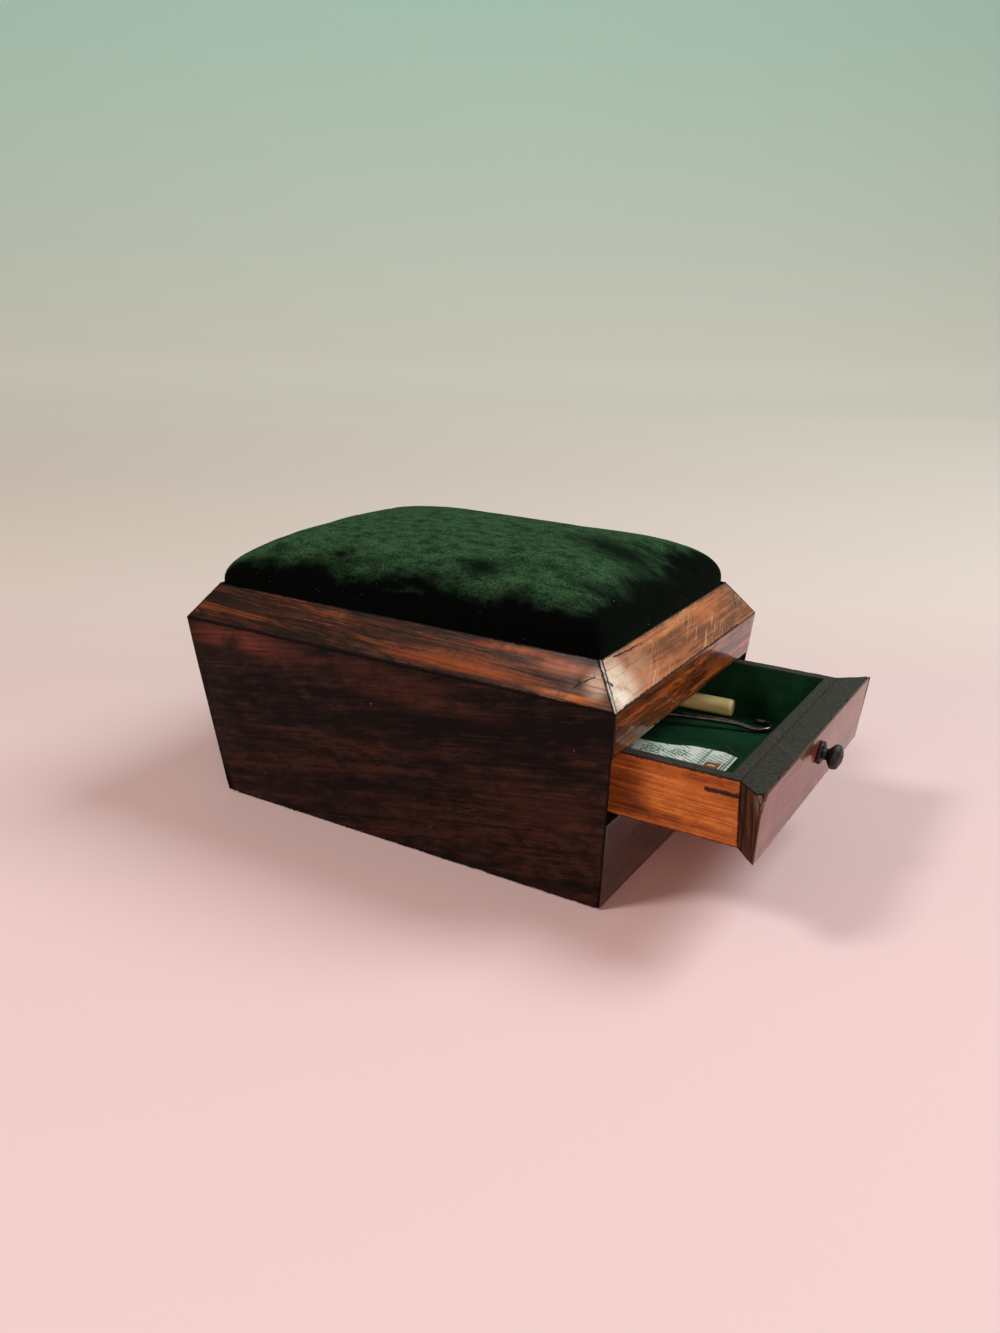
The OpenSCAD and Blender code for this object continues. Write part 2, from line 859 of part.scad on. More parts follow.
// Handle with rounded ends lying along -X from its free end at the origin, resting on the floor
module handle_form(d, l) {
    round_off = d * 0.16;
    translate([0, 0, d / 2]) rotate([0, -90, 0]) rotate_extrude() polygon([
        [0, 0], [d / 2 - round_off, 0], [d / 2 - 0.3 * round_off, 0.3 * round_off],
        [d / 2, round_off], [d / 2, l * 0.3], [d * 0.46, l * 0.7], [d * 0.36, l - round_off],
        [d * 0.3, l], [0, l]]);
}

module on_drawer_floor(place, turn) {
    pulled() translate([place[0], place[1], lined_floor]) rotate([0, 0, turn]) children();
}

module bone_handle() {
    color(bone) on_drawer_floor(bone_end, bone_turn) handle_form(bone_d, bone_l);
}

module bone_handle_shank() {
    color(steel) on_drawer_floor(bone_end, bone_turn)
        translate([-bone_l - shank_l, 0, bone_d / 2]) rotate([0, 90, 0]) union() {
            translate([0, 0, shank_l * 0.3]) cylinder(d = shank_d, h = shank_l * 0.7);
            cylinder(d1 = shank_d * 0.35, d2 = shank_d, h = shank_l * 0.3);
        }
}

module hook_grip() {
    color(bone) on_drawer_floor(grip_end, grip_turn)
        translate([-grip_l, 0, 0]) mirror([1, 0, 0]) handle_form(grip_d, grip_l);
}

module hook_shank() {
    start = [grip_end[0], grip_end[1], grip_d / 2];
    color(steel) pulled() translate([0, 0, lined_floor])
        rod(smooth_route(concat([start], hook_route), 4), hook_d, hook_end_d);
}

// Outline of the ticket, its top right corner at the origin
module ticket_outline() {
    lip = 0.14 * ticket_w;
    difference() {
        translate([-ticket_l, -ticket_w]) square([ticket_l, ticket_w + lip]);
        translate([-ticket_l * 0.72, lip + ticket_l * 0.18]) rotate(12)
            square([ticket_l, ticket_w]);
    }
}

module paper_ticket() {
    color(light_line) on_drawer_floor(ticket_corner, 0)
        linear_extrude(height = ticket_t) ticket_outline();
}

base_lining();
base_board();
base_pins();
side_board_near();
side_board_far();
end_board_blind();
end_rail_upper();
end_rail_lower();
corner_blocks();
drawer_bed();
dust_board();
side_veneer_near();
side_veneer_far();
end_veneer_blind();
end_veneer_upper();
end_veneer_lower();
rim_core_near();
rim_core_far();
rim_core_blind();
rim_core_drawer_end();
rim_veneer_near();
rim_veneer_far();
rim_veneer_blind();
rim_veneer_drawer_end();
rim_lines();
cushion_bearer_near();
cushion_bearer_far();
cushion_board();
cushion_stuffing();
velvet_cover();
drawer_side_near();
drawer_side_far();
drawer_inner_front();
drawer_back();
drawer_bottom();
drawer_facing();
facing_veneer();
facing_slips();
drawer_binding();
facing_binding();
lining_floor();
lining_walls();
drawer_knob();
bone_handle();
bone_handle_shank();
hook_grip();
hook_shank();
paper_ticket();
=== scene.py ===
"""Rosewood pincushion box with one drawer, dressed over its solid model.

Sizes are in millimetres where a name or docstring says so, and in metres in Blender's own data.
The drawer stands pulled out, as it does in the model at rest.
"""

import logging
import math
from dataclasses import dataclass
from enum import Enum
from typing import Callable, Sequence

import bmesh
import bpy
from mathutils import Matrix, Vector, noise


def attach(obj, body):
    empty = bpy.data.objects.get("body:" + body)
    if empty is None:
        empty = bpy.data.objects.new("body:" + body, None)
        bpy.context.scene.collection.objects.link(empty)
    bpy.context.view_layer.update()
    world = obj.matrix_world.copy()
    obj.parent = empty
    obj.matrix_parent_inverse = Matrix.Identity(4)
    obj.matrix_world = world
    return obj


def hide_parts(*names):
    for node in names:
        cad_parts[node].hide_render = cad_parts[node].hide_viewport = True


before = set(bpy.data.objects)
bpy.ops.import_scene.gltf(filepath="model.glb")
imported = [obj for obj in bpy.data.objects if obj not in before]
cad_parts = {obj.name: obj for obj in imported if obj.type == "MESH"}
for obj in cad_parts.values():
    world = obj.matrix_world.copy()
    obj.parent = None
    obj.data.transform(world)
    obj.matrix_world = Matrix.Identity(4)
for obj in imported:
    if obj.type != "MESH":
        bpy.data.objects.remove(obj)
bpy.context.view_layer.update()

LOG = logging.getLogger("pincushion_box")
MM = 0.001

Triple = tuple[float, float, float]
Material = bpy.types.Material
Node = bpy.types.Node
NodeTree = bpy.types.NodeTree
Socket = bpy.types.NodeSocket
BMesh = bmesh.types.BMesh
BMEdge = bmesh.types.BMEdge
BMVert = bmesh.types.BMVert


def srgb(red: float, green: float, blue: float) -> Triple:
    """Linear colour of an 8-bit screen colour."""
    return tuple(
        value / 12.92 if value <= 0.04045 else ((value + 0.055) / 1.055) ** 2.4
        for value in (red / 255, green / 255, blue / 255)
    )


# Sizes shared with the solid model, in millimetres

ARRIS_L, ARRIS_W, ARRIS_Z = 200.0, 137.0, 82.5
FOOT_L, FOOT_W = 185.0, 119.0
RIM_Z, RIM_HALF_L, RIM_HALF_W = 96.6, 88.75, 58.75
PULLED = 52.9
LINED_FLOOR = 42.0
ROOM_FRONT, ROOM_HALF_W = 82.99, 49.88
KNOB_Z = 55.0

# Colours that several finishes share, linear

PORE_COLOUR: Triple = (0.004, 0.002, 0.002)
CRACK_COLOUR: Triple = (0.004, 0.003, 0.003)
DUST_COLOUR: Triple = (0.30, 0.26, 0.22)


def half_l(z: float) -> float:
    """Half length of the case at a height."""
    return FOOT_L / 2 + (ARRIS_L - FOOT_L) / 2 * z / ARRIS_Z


def half_w(z: float) -> float:
    """Half width of the case at a height."""
    return FOOT_W / 2 + (ARRIS_W - FOOT_W) / 2 * z / ARRIS_Z


class Graph:
    """Adds, sets and links shader nodes in one node tree."""

    def __init__(self, tree: NodeTree) -> None:
        """Keeps the tree that every call works on."""
        self.tree = tree

    def feed(self, node: Node, inputs: dict) -> None:
        """Links sockets to a node's inputs, or sets their constants.

        Args:
            node: The node that is fed.
            inputs: A socket, a number, a colour or a vector for each input's name or index.
        """
        for key, value in inputs.items():
            socket = node.inputs[key]
            if isinstance(value, Socket):
                self.tree.links.new(value, socket)
            elif socket.type == "RGBA" and len(value) == 3:
                socket.default_value = (*value, 1.0)
            else:
                socket.default_value = value

    def add(self, kind: str, inputs: dict | None = None, **settings: object) -> Node:
        """Adds a node.

        Args:
            kind: The node's type without its ShaderNode prefix.
            inputs: Values or sockets by input name or index.
            **settings: Properties set on the node before its inputs are fed.

        Returns:
            The new node.
        """
        node = self.tree.nodes.new("ShaderNode" + kind)
        for name, value in settings.items():
            setattr(node, name, value)
        self.feed(node, inputs or {})
        return node

    def group(self, pattern: str, at: object, **inputs: object) -> Node:
        """Places a shared pattern over a vector and feeds its other inputs."""
        return self.add("Group", {"Vector": at, **inputs}, node_tree=Patterns.get(pattern))

    def mask(self, pattern: str, at: object, **inputs: object) -> Socket:
        """Mask that a shared pattern puts out."""
        return self.group(pattern, at, **inputs).outputs["Mask"]

    def math(self, operation: str, a: object, b: object = 0.0, clamp: bool = False) -> Socket:
        """Result of one sum on two values."""
        return self.add("Math", {0: a, 1: b}, operation=operation, use_clamp=clamp).outputs[0]

    def plus(self, a: object, b: object, clamp: bool = False) -> Socket:
        """Sum of two values."""
        return self.math("ADD", a, b, clamp)

    def minus(self, a: object, b: object, clamp: bool = False) -> Socket:
        """Difference of two values."""
        return self.math("SUBTRACT", a, b, clamp)

    def times(self, a: object, b: object, clamp: bool = False) -> Socket:
        """Product of two values."""
        return self.math("MULTIPLY", a, b, clamp)

    def most(self, a: object, b: object) -> Socket:
        """Greater of two values."""
        return self.math("MAXIMUM", a, b)

    def swing(self, value: object, factor: object) -> Socket:
        """A value about 0.5, brought about nought and times a factor."""
        return self.times(self.minus(value, 0.5), factor)

    def vector(self, operation: str, a: object, b: object = (0.0, 0.0, 0.0)) -> Socket:
        """Result of one vector sum."""
        return self.add("VectorMath", {0: a, 1: b}, operation=operation).outputs[0]

    def scaled(self, a: object, factor: object) -> Socket:
        """A vector times a number."""
        return self.add("VectorMath", {0: a, "Scale": factor}, operation="SCALE").outputs[0]

    def dot(self, a: object, b: object) -> Socket:
        """Dot product of two vectors."""
        return self.add("VectorMath", {0: a, 1: b}, operation="DOT_PRODUCT").outputs["Value"]

    def length(self, a: object) -> Socket:
        """Length of a vector."""
        return self.add("VectorMath", {0: a}, operation="LENGTH").outputs["Value"]

    def mix(self, factor: object, a: object, b: object) -> Socket:
        """Colour between a and b."""
        return self.add("Mix", {0: factor, 6: a, 7: b}, data_type="RGBA").outputs[2]

    def noise_node(self, vector: object, stretch: Triple | float, detail: float, rough: float) -> Node:
        """Noise texture over a stretched vector."""
        size = (stretch,) * 3 if isinstance(stretch, float) else stretch
        place = self.vector("MULTIPLY", vector, size)
        return self.add("TexNoise", {"Vector": place, "Scale": 1.0, "Detail": detail, "Roughness": rough})

    def noise(
        self, vector: object, stretch: Triple | float, detail: float = 2.0, rough: float = 0.5
    ) -> Socket:
        """Soft noise over a stretched vector, about 0.5 in the middle."""
        return self.noise_node(vector, stretch, detail, rough).outputs[0]

    def wander(self, vector: object, stretch: Triple | float, detail: float) -> Socket:
        """Noise in three directions, about nought in the middle."""
        node = self.noise_node(vector, stretch, detail, 0.5)
        return self.vector("SUBTRACT", node.outputs["Color"], (0.5,) * 3)

    def step(
        self, value: object, low: float, high: float, out_low: float = 0.0, out_high: float = 1.0
    ) -> Socket:
        """Smooth step of a value between two limits."""
        ends = {"Value": value, "From Min": low, "From Max": high, "To Min": out_low, "To Max": out_high}
        return self.add("MapRange", ends, interpolation_type="SMOOTHSTEP").outputs[0]

    def step_linear(self, value: object, low: float, high: float) -> Socket:
        """Even ramp of a value between two limits."""
        return self.add("MapRange", {"Value": value, "From Min": low, "From Max": high}).outputs[0]

    def ellipse(self, vector: object, centre: Triple, radii: Triple, soft: float) -> Socket:
        """Mask that is 1 inside an ellipsoid and fades over its outer share."""
        away = self.vector("DIVIDE", self.vector("SUBTRACT", vector, centre), radii)
        return self.step(self.length(away), 1.0, 1.0 - soft)

    def turned(self, at: object, rotation: Triple) -> Socket:
        """A vector turned by three angles in radians."""
        return self.add("Mapping", {"Vector": at, "Rotation": rotation}, vector_type="POINT").outputs[0]

    def object_mm(self) -> Socket:
        """Object coordinates in millimetres."""
        return self.scaled(self.add("TexCoord").outputs["Object"], 1.0 / MM)

    def xyz(self, vector: object) -> tuple[Socket, ...]:
        """The three parts of a vector."""
        return tuple(self.add("SeparateXYZ", {0: vector}).outputs)

    def worn_edges(self, at: object, amount: float) -> Socket:
        """Mask of the rubbed edges of a piece."""
        edge = self.add("Attribute", attribute_name="wear").outputs["Fac"]
        return self.mask("wear", at, Edge=edge, Amount=amount)

    def bump(self, shader: Node, height: object, strength: float, distance: float) -> None:
        """Gives a shader a bumpy normal. The distance is in millimetres."""
        bump = self.add("Bump", {"Height": height, "Strength": strength, "Distance": distance * MM})
        self.feed(shader, {"Normal": bump.outputs[0]})


def new_group(
    name: str, inputs: dict[str, float | Triple | None], outputs: Sequence[str] = ("Mask",)
) -> tuple[NodeTree, Graph, dict[str, Socket], Node]:
    """Starts a shader node group whose first input is a vector.

    Args:
        name: The group's name.
        inputs: Default of each further input: a number, a colour, or None for a vector.
        outputs: The outputs. Color is a colour and any other one a number.

    Returns:
        The group's tree, its graph, its input sockets by name and its output node.
    """
    tree = bpy.data.node_groups.new(name, "ShaderNodeTree")
    for label, default in {"Vector": None, **inputs}.items():
        kind = {type(None): "Vector", float: "Float", tuple: "Color"}[type(default)]
        socket = tree.interface.new_socket(label, in_out="INPUT", socket_type="NodeSocket" + kind)
        if default is not None:
            socket.default_value = (*default, 1.0) if kind == "Color" else default
    for label in outputs:
        kind = "Color" if label == "Color" else "Float"
        tree.interface.new_socket(label, in_out="OUTPUT", socket_type="NodeSocket" + kind)
    source = tree.nodes.new("NodeGroupInput")
    sink = tree.nodes.new("NodeGroupOutput")
    return tree, Graph(tree), {label: source.outputs[label] for label in ("Vector", *inputs)}, sink


def grain_group() -> NodeTree:
    """Figured wood with its grain along the vector's X, in millimetres."""
    tree, g, given, sink = new_group(
        "wood_grain",
        {"Light": (0.3, 0.2, 0.1), "Mid": (0.2, 0.1, 0.05), "Dark": (0.05, 0.03, 0.02), "Width": 1.0,
         "Sway": 10.0, "Lines": 0.6, "Mottle": 0.4, "Pores": 0.5},
        ("Color", "Height"),
    )
    at, dark, pores = given["Vector"], given["Dark"], given["Pores"]
    off = g.vector("MULTIPLY", g.wander(at, (0.009, 0.02, 0.02), 2.0), (0.0, 1.0, 1.0))
    bent = g.vector("ADD", at, g.scaled(off, given["Sway"]))
    wide = g.vector("DIVIDE", bent, given["Width"])
    figure = g.noise(wide, (0.006, 0.12, 0.12), 4.0, 0.6)
    rings = g.math("FRACT", g.times(g.noise(wide, (0.0035, 0.055, 0.055), 1.0, 0.4), 12.0))
    line = g.times(g.step(rings, 0.5, 0.95), g.step(g.noise(at, (0.02, 0.06, 0.06)), 0.36, 0.6))
    fine = g.noise(bent, (0.02, 0.9, 0.9), 4.0, 0.62)
    cloud = g.noise(bent, (0.11, 0.30, 0.30), 4.0, 0.66)
    dash_place = g.step(g.noise(at, (0.03, 0.07, 0.07)), 0.35, 0.62)
    dash = g.times(g.step(g.noise(bent, (0.17, 1.25, 1.25), 1.5), 0.575, 0.68), dash_place)
    pore = g.step(g.noise(bent, (0.42, 3.4, 3.4), 2.0, 0.55), 0.59, 0.69)
    grit = g.noise(at, (1.4, 2.4, 2.4), 3.0, 0.7)
    tone = g.plus(g.plus(figure, g.swing(fine, 0.7)), g.swing(cloud, given["Mottle"]))
    colour = g.mix(g.step(tone, 0.34, 0.50), dark, given["Mid"])
    colour = g.mix(g.step(tone, 0.50, 0.66), colour, given["Light"])
    colour = g.mix(g.times(line, given["Lines"]), colour, dark)
    colour = g.mix(g.times(dash, pores), colour, g.mix(0.75, dark, (0.0, 0.0, 0.0)))
    colour = g.mix(g.step(grit, 0.60, 0.32, 0.0, 0.45), colour, dark)
    colour = g.mix(g.times(pore, pores), colour, PORE_COLOUR)
    hollow = g.times(g.plus(pore, dash), pores)
    g.feed(sink, {"Color": colour, "Height": g.minus(g.times(g.plus(fine, grit), 0.4), hollow)})
    return tree


def wear_group() -> NodeTree:
    """Broken mask along the edges that carry the wear attribute."""
    tree, g, given, sink = new_group("edge_wear", {"Edge": 0.0, "Amount": 0.5})
    rough = g.swing(g.noise(given["Vector"], 0.55, 4.0, 0.7), 1.9)
    level = g.minus(g.plus(given["Edge"], rough), g.minus(1.0, given["Amount"]))
    g.feed(sink, {"Mask": g.times(g.step(level, 0.0, 0.25), g.step(given["Edge"], 0.05, 0.4))})
    return tree


def scratch_group() -> NodeTree:
    """Thin rubbed scratches that run along the vector's X, in millimetres."""
    tree, g, given, sink = new_group("scratches", {"Amount": 0.5})
    streak = g.step(g.noise(given["Vector"], (0.045, 2.3, 2.3), 1.5, 0.4), 0.60, 0.70)
    place = g.noise(given["Vector"], (0.03, 0.09, 0.09))
    lifted = g.plus(place, g.swing(given["Amount"], 0.5))
    g.feed(sink, {"Mask": g.times(streak, g.step(lifted, 0.45, 0.62))})
    return tree


def speck_group() -> NodeTree:
    """Scattered specks of the given spacing in millimetres."""
    tree, g, given, sink = new_group("specks", {"Spacing": 4.0, "Size": 0.1, "Amount": 0.3})
    place = g.vector("DIVIDE", given["Vector"], given["Spacing"])
    cells = g.add("TexVoronoi", {"Vector": place, "Scale": 1.0})
    chosen = g.math("GREATER_THAN", given["Amount"], g.xyz(cells.outputs["Color"])[0])
    near = g.math("LESS_THAN", cells.outputs["Distance"], given["Size"])
    g.feed(sink, {"Mask": g.times(chosen, near)})
    return tree


def crack_group() -> NodeTree:
    """Mask of a thin wandering line between two points, in millimetres."""
    tree, g, given, sink = new_group("crack", {"Start": None, "End": None, "Width": 0.2})
    at = g.vector("ADD", given["Vector"], g.scaled(g.wander(given["Vector"], 0.5, 3.0), 1.6))
    along = g.vector("SUBTRACT", given["End"], given["Start"])
    away = g.vector("SUBTRACT", at, given["Start"])
    share = g.math("DIVIDE", g.dot(away, along), g.dot(along, along), clamp=True)
    off = g.vector("SUBTRACT", away, g.scaled(along, share))
    g.feed(sink, {"Mask": g.step(g.math("DIVIDE", g.length(off), given["Width"]), 1.0, 0.35)})
    return tree


class Patterns:
    """The node groups that the finishes share, each built once."""

    builders: dict[str, Callable[[], NodeTree]] = {
        "grain": grain_group, "wear": wear_group, "scratches": scratch_group, "specks": speck_group,
        "crack": crack_group,
    }
    made: dict[str, NodeTree] = {}

    @classmethod
    def get(cls, name: str) -> NodeTree:
        """The group of that name, built on first use."""
        if name not in cls.made:
            cls.made[name] = cls.builders[name]()
        return cls.made[name]


def start_material(name: str) -> tuple[Material, Graph, Node]:
    """A new material with one Principled shader.

    Args:
        name: The material's name.

    Returns:
        The material, its graph and its shader node.
    """
    material = bpy.data.materials.new(name)
    material.use_nodes = True
    return material, Graph(material.node_tree), material.node_tree.nodes["Principled BSDF"]


class GrainRun(Enum):
    """Direction that a board's grain takes."""

    ALONG_X = "x"
    ALONG_Y = "y"
    UPRIGHT = "z"


@dataclass(frozen=True)
class Patch:
    """A stained or faded place on a surface, or a place of painted shade or painted reflection, in
    millimetres.
    """

    centre: Triple
    radii: Triple
    colour: Triple
    strength: float


@dataclass(frozen=True)
class Crack:
    """A thin dark line in the surface, in millimetres."""

    start: Triple
    end: Triple
    width: float


@dataclass(frozen=True)
class WoodFinish:
    """Polished or bare wood with its figure, patches, wear and cracks."""

    name: str
    light: Triple
    mid: Triple
    dark: Triple
    run: GrainRun = GrainRun.ALONG_X
    offset: Triple = (0.0, 0.0, 0.0)
    tilt: float = 0.0
    width: float = 1.0
    sway: float = 9.0
    mottle: float = 0.4
    lines: float = 0.7
    pores: float = 0.6
    roughness: float = 0.4
    specular: float = 0.5
    coat: float = 0.0
    coat_roughness: float = 0.15
    bump: float = 0.25
    worn: Triple = (0.01, 0.006, 0.005)
    wear: float = 0.55
    scuff: Triple = (0.2, 0.12, 0.08)
    scuffs: float = 0.0
    scuff_turn: Triple = (0.0, 0.0, 0.0)
    dust: float = 0.05
    dust_spacing: float = 3.1
    dust_size: float = 0.09
    crack_depth: float = 3.0
    patches: tuple[Patch, ...] = ()
    cracks: tuple[Crack, ...] = ()

    def build(self) -> Material:
        """Builds the material and returns it."""
        material, g, shader = start_material(self.name)
        at = g.object_mm()
        placed = self._along_grain(g, at)
        grain = g.group(
            "grain", placed, Light=self.light, Mid=self.mid, Dark=self.dark, Width=self.width,
            Sway=self.sway, Mottle=self.mottle, Lines=self.lines, Pores=self.pores,
        )
        colour, height = grain.outputs["Color"], grain.outputs["Height"]
        blotch = g.noise(at, 0.07, 4.0, 0.6)
        streaks = g.step(g.noise(placed, (0.03, 0.8, 0.8), 4.0, 0.65), 0.34, 0.56, 0.35, 1.0)
        # Some patches are stains; others paint shade or a reflection.
        for patch in self.patches:
            mask = g.times(g.ellipse(at, patch.centre, patch.radii, 0.8), g.step(blotch, 0.3, 0.55))
            colour = g.mix(g.times(g.times(mask, streaks), patch.strength), colour, patch.colour)
        if self.scuffs:
            mask = g.mask("scratches", g.turned(at, self.scuff_turn), Amount=self.scuffs)
            colour = g.mix(g.times(mask, 0.75), colour, self.scuff)
        rubbed = g.worn_edges(at, self.wear)
        colour = g.mix(g.times(rubbed, 0.85), colour, self.worn)
        specks = g.mask("specks", at, Spacing=self.dust_spacing, Size=self.dust_size, Amount=self.dust)
        colour = g.mix(g.times(specks, 0.5), colour, DUST_COLOUR)
        for crack in self.cracks:
            mask = g.mask("crack", at, Start=crack.start, End=crack.end, Width=crack.width)
            colour = g.mix(mask, colour, CRACK_COLOUR)
            height = g.minus(height, g.times(mask, self.crack_depth))
        uneven = g.plus(g.swing(blotch, 0.35), g.times(rubbed, 0.25))
        g.feed(shader, {
            "Base Color": colour, "Roughness": g.plus(uneven, self.roughness, clamp=True),
            "Specular IOR Level": self.specular, "Coat Weight": self.coat,
            "Coat Roughness": self.coat_roughness,
        })
        g.bump(shader, g.plus(height, g.times(g.noise(at, 0.12), 2.5)), self.bump, 0.15)
        return material

    def _along_grain(self, g: Graph, at: Socket) -> Socket:
        """The place with its X along the grain, tilted and moved to this board's own figure."""
        x, y, z = g.xyz(at)
        long, wide, deep = {
            GrainRun.ALONG_X: (x, y, z), GrainRun.ALONG_Y: (y, x, z), GrainRun.UPRIGHT: (z, x, y),
        }[self.run]
        level = g.minus(deep, g.times(long, self.tilt))
        along = g.add("CombineXYZ", {0: long, 1: wide, 2: level}).outputs[0]
        return g.vector("ADD", along, self.offset)


@dataclass(frozen=True)
class PlainFinish:
    """Paper, painted strip, bone, horn or metal with mottling and specks."""

    name: str
    base: Triple
    other: Triple
    mottle: float = 0.3
    stretch: Triple = (1.0, 1.0, 1.0)
    roughness: float = 0.6
    specular: float = 0.4
    metallic: float = 0.0
    coat: float = 0.0
    subsurface: float = 0.0
    bump: float = 0.2
    worn: Triple = (0.2, 0.2, 0.18)
    wear: float = 0.3
    specks: float = 0.08
    speck_spacing: float = 1.7
    speck_size: float = 0.13
    speck_colour: Triple = (0.30, 0.29, 0.25)
    scratched: float = 0.0
    scratch_turn: Triple = (0.0, 0.0, 0.7)

    def build(self) -> Material:
        """Builds the material and returns it."""
        material, g, shader = start_material(self.name)
        at = g.object_mm()
        cloud = g.noise(g.vector("MULTIPLY", at, self.stretch), self.mottle, 5.0, 0.65)
        colour = g.mix(g.step(cloud, 0.35, 0.65), self.base, self.other)
        tooth = g.noise(at, 3.0, 3.0, 0.6)
        colour = g.mix(g.step(tooth, 0.62, 0.35, 0.0, 0.35), colour, self.base)
        colour = g.mix(g.times(g.worn_edges(at, self.wear), 0.8), colour, self.worn)
        specks = g.mask(
            "specks", at, Spacing=self.speck_spacing, Size=self.speck_size, Amount=self.specks
        )
        colour = g.mix(g.times(specks, 0.6), colour, self.speck_colour)
        if self.scratched:
            mask = g.mask("scratches", g.turned(at, self.scratch_turn), Amount=self.scratched)
            colour = g.mix(g.times(mask, 0.4), colour, self.speck_colour)
        g.feed(shader, {
            "Base Color": colour, "Roughness": g.plus(g.swing(cloud, 0.3), self.roughness, clamp=True),
            "Specular IOR Level": self.specular, "Metallic": self.metallic, "Coat Weight": self.coat,
        })
        if self.subsurface:
            g.feed(shader, {
                "Subsurface Weight": self.subsurface, "Subsurface Radius": (0.0015, 0.0012, 0.0006),
                "Subsurface Scale": 1.0,
            })
        g.bump(shader, g.plus(tooth, cloud), self.bump, 0.2)
        return material


@dataclass(frozen=True)
class MitreLineFinish:
    """Light wood line between a thin and a thick dark glue line, along each mitre of the rim."""

    name: str = "light_line"
    light: Triple = srgb(222, 210, 194)
    dull: Triple = srgb(150, 130, 112)
    glue: Triple = srgb(12, 8, 7)
    thin_edge: float = -0.24
    thick_edge: float = 0.05
    soft: float = 0.06

    def build(self) -> Material:
        """Builds the material and returns it."""
        material, g, shader = start_material(self.name)
        at = g.object_mm()
        x, y, _ = g.xyz(g.vector("ABSOLUTE", at))
        run, rise = ARRIS_L / 2 - RIM_HALF_L, ARRIS_W / 2 - RIM_HALF_W
        long = math.hypot(run, rise)
        off_x = g.times(g.minus(x, RIM_HALF_L), rise / long)
        off_y = g.times(g.minus(y, RIM_HALF_W), run / long)
        across = g.plus(g.minus(off_x, off_y), g.swing(g.noise(at, 0.5, 3.0, 0.6), 0.2))
        inside = g.times(
            g.step(across, self.thin_edge - self.soft, self.thin_edge + self.soft),
            g.step(across, self.thick_edge + self.soft, self.thick_edge - self.soft),
        )
        colour = g.mix(g.step(g.noise(at, 0.9, 3.0, 0.6), 0.35, 0.6), self.dull, self.light)
        colour = g.mix(inside, self.glue, colour)
        g.feed(shader, {"Base Color": colour, "Roughness": 0.4, "Coat Weight": 0.3})
        g.bump(shader, inside, 0.4, 0.15)
        return material


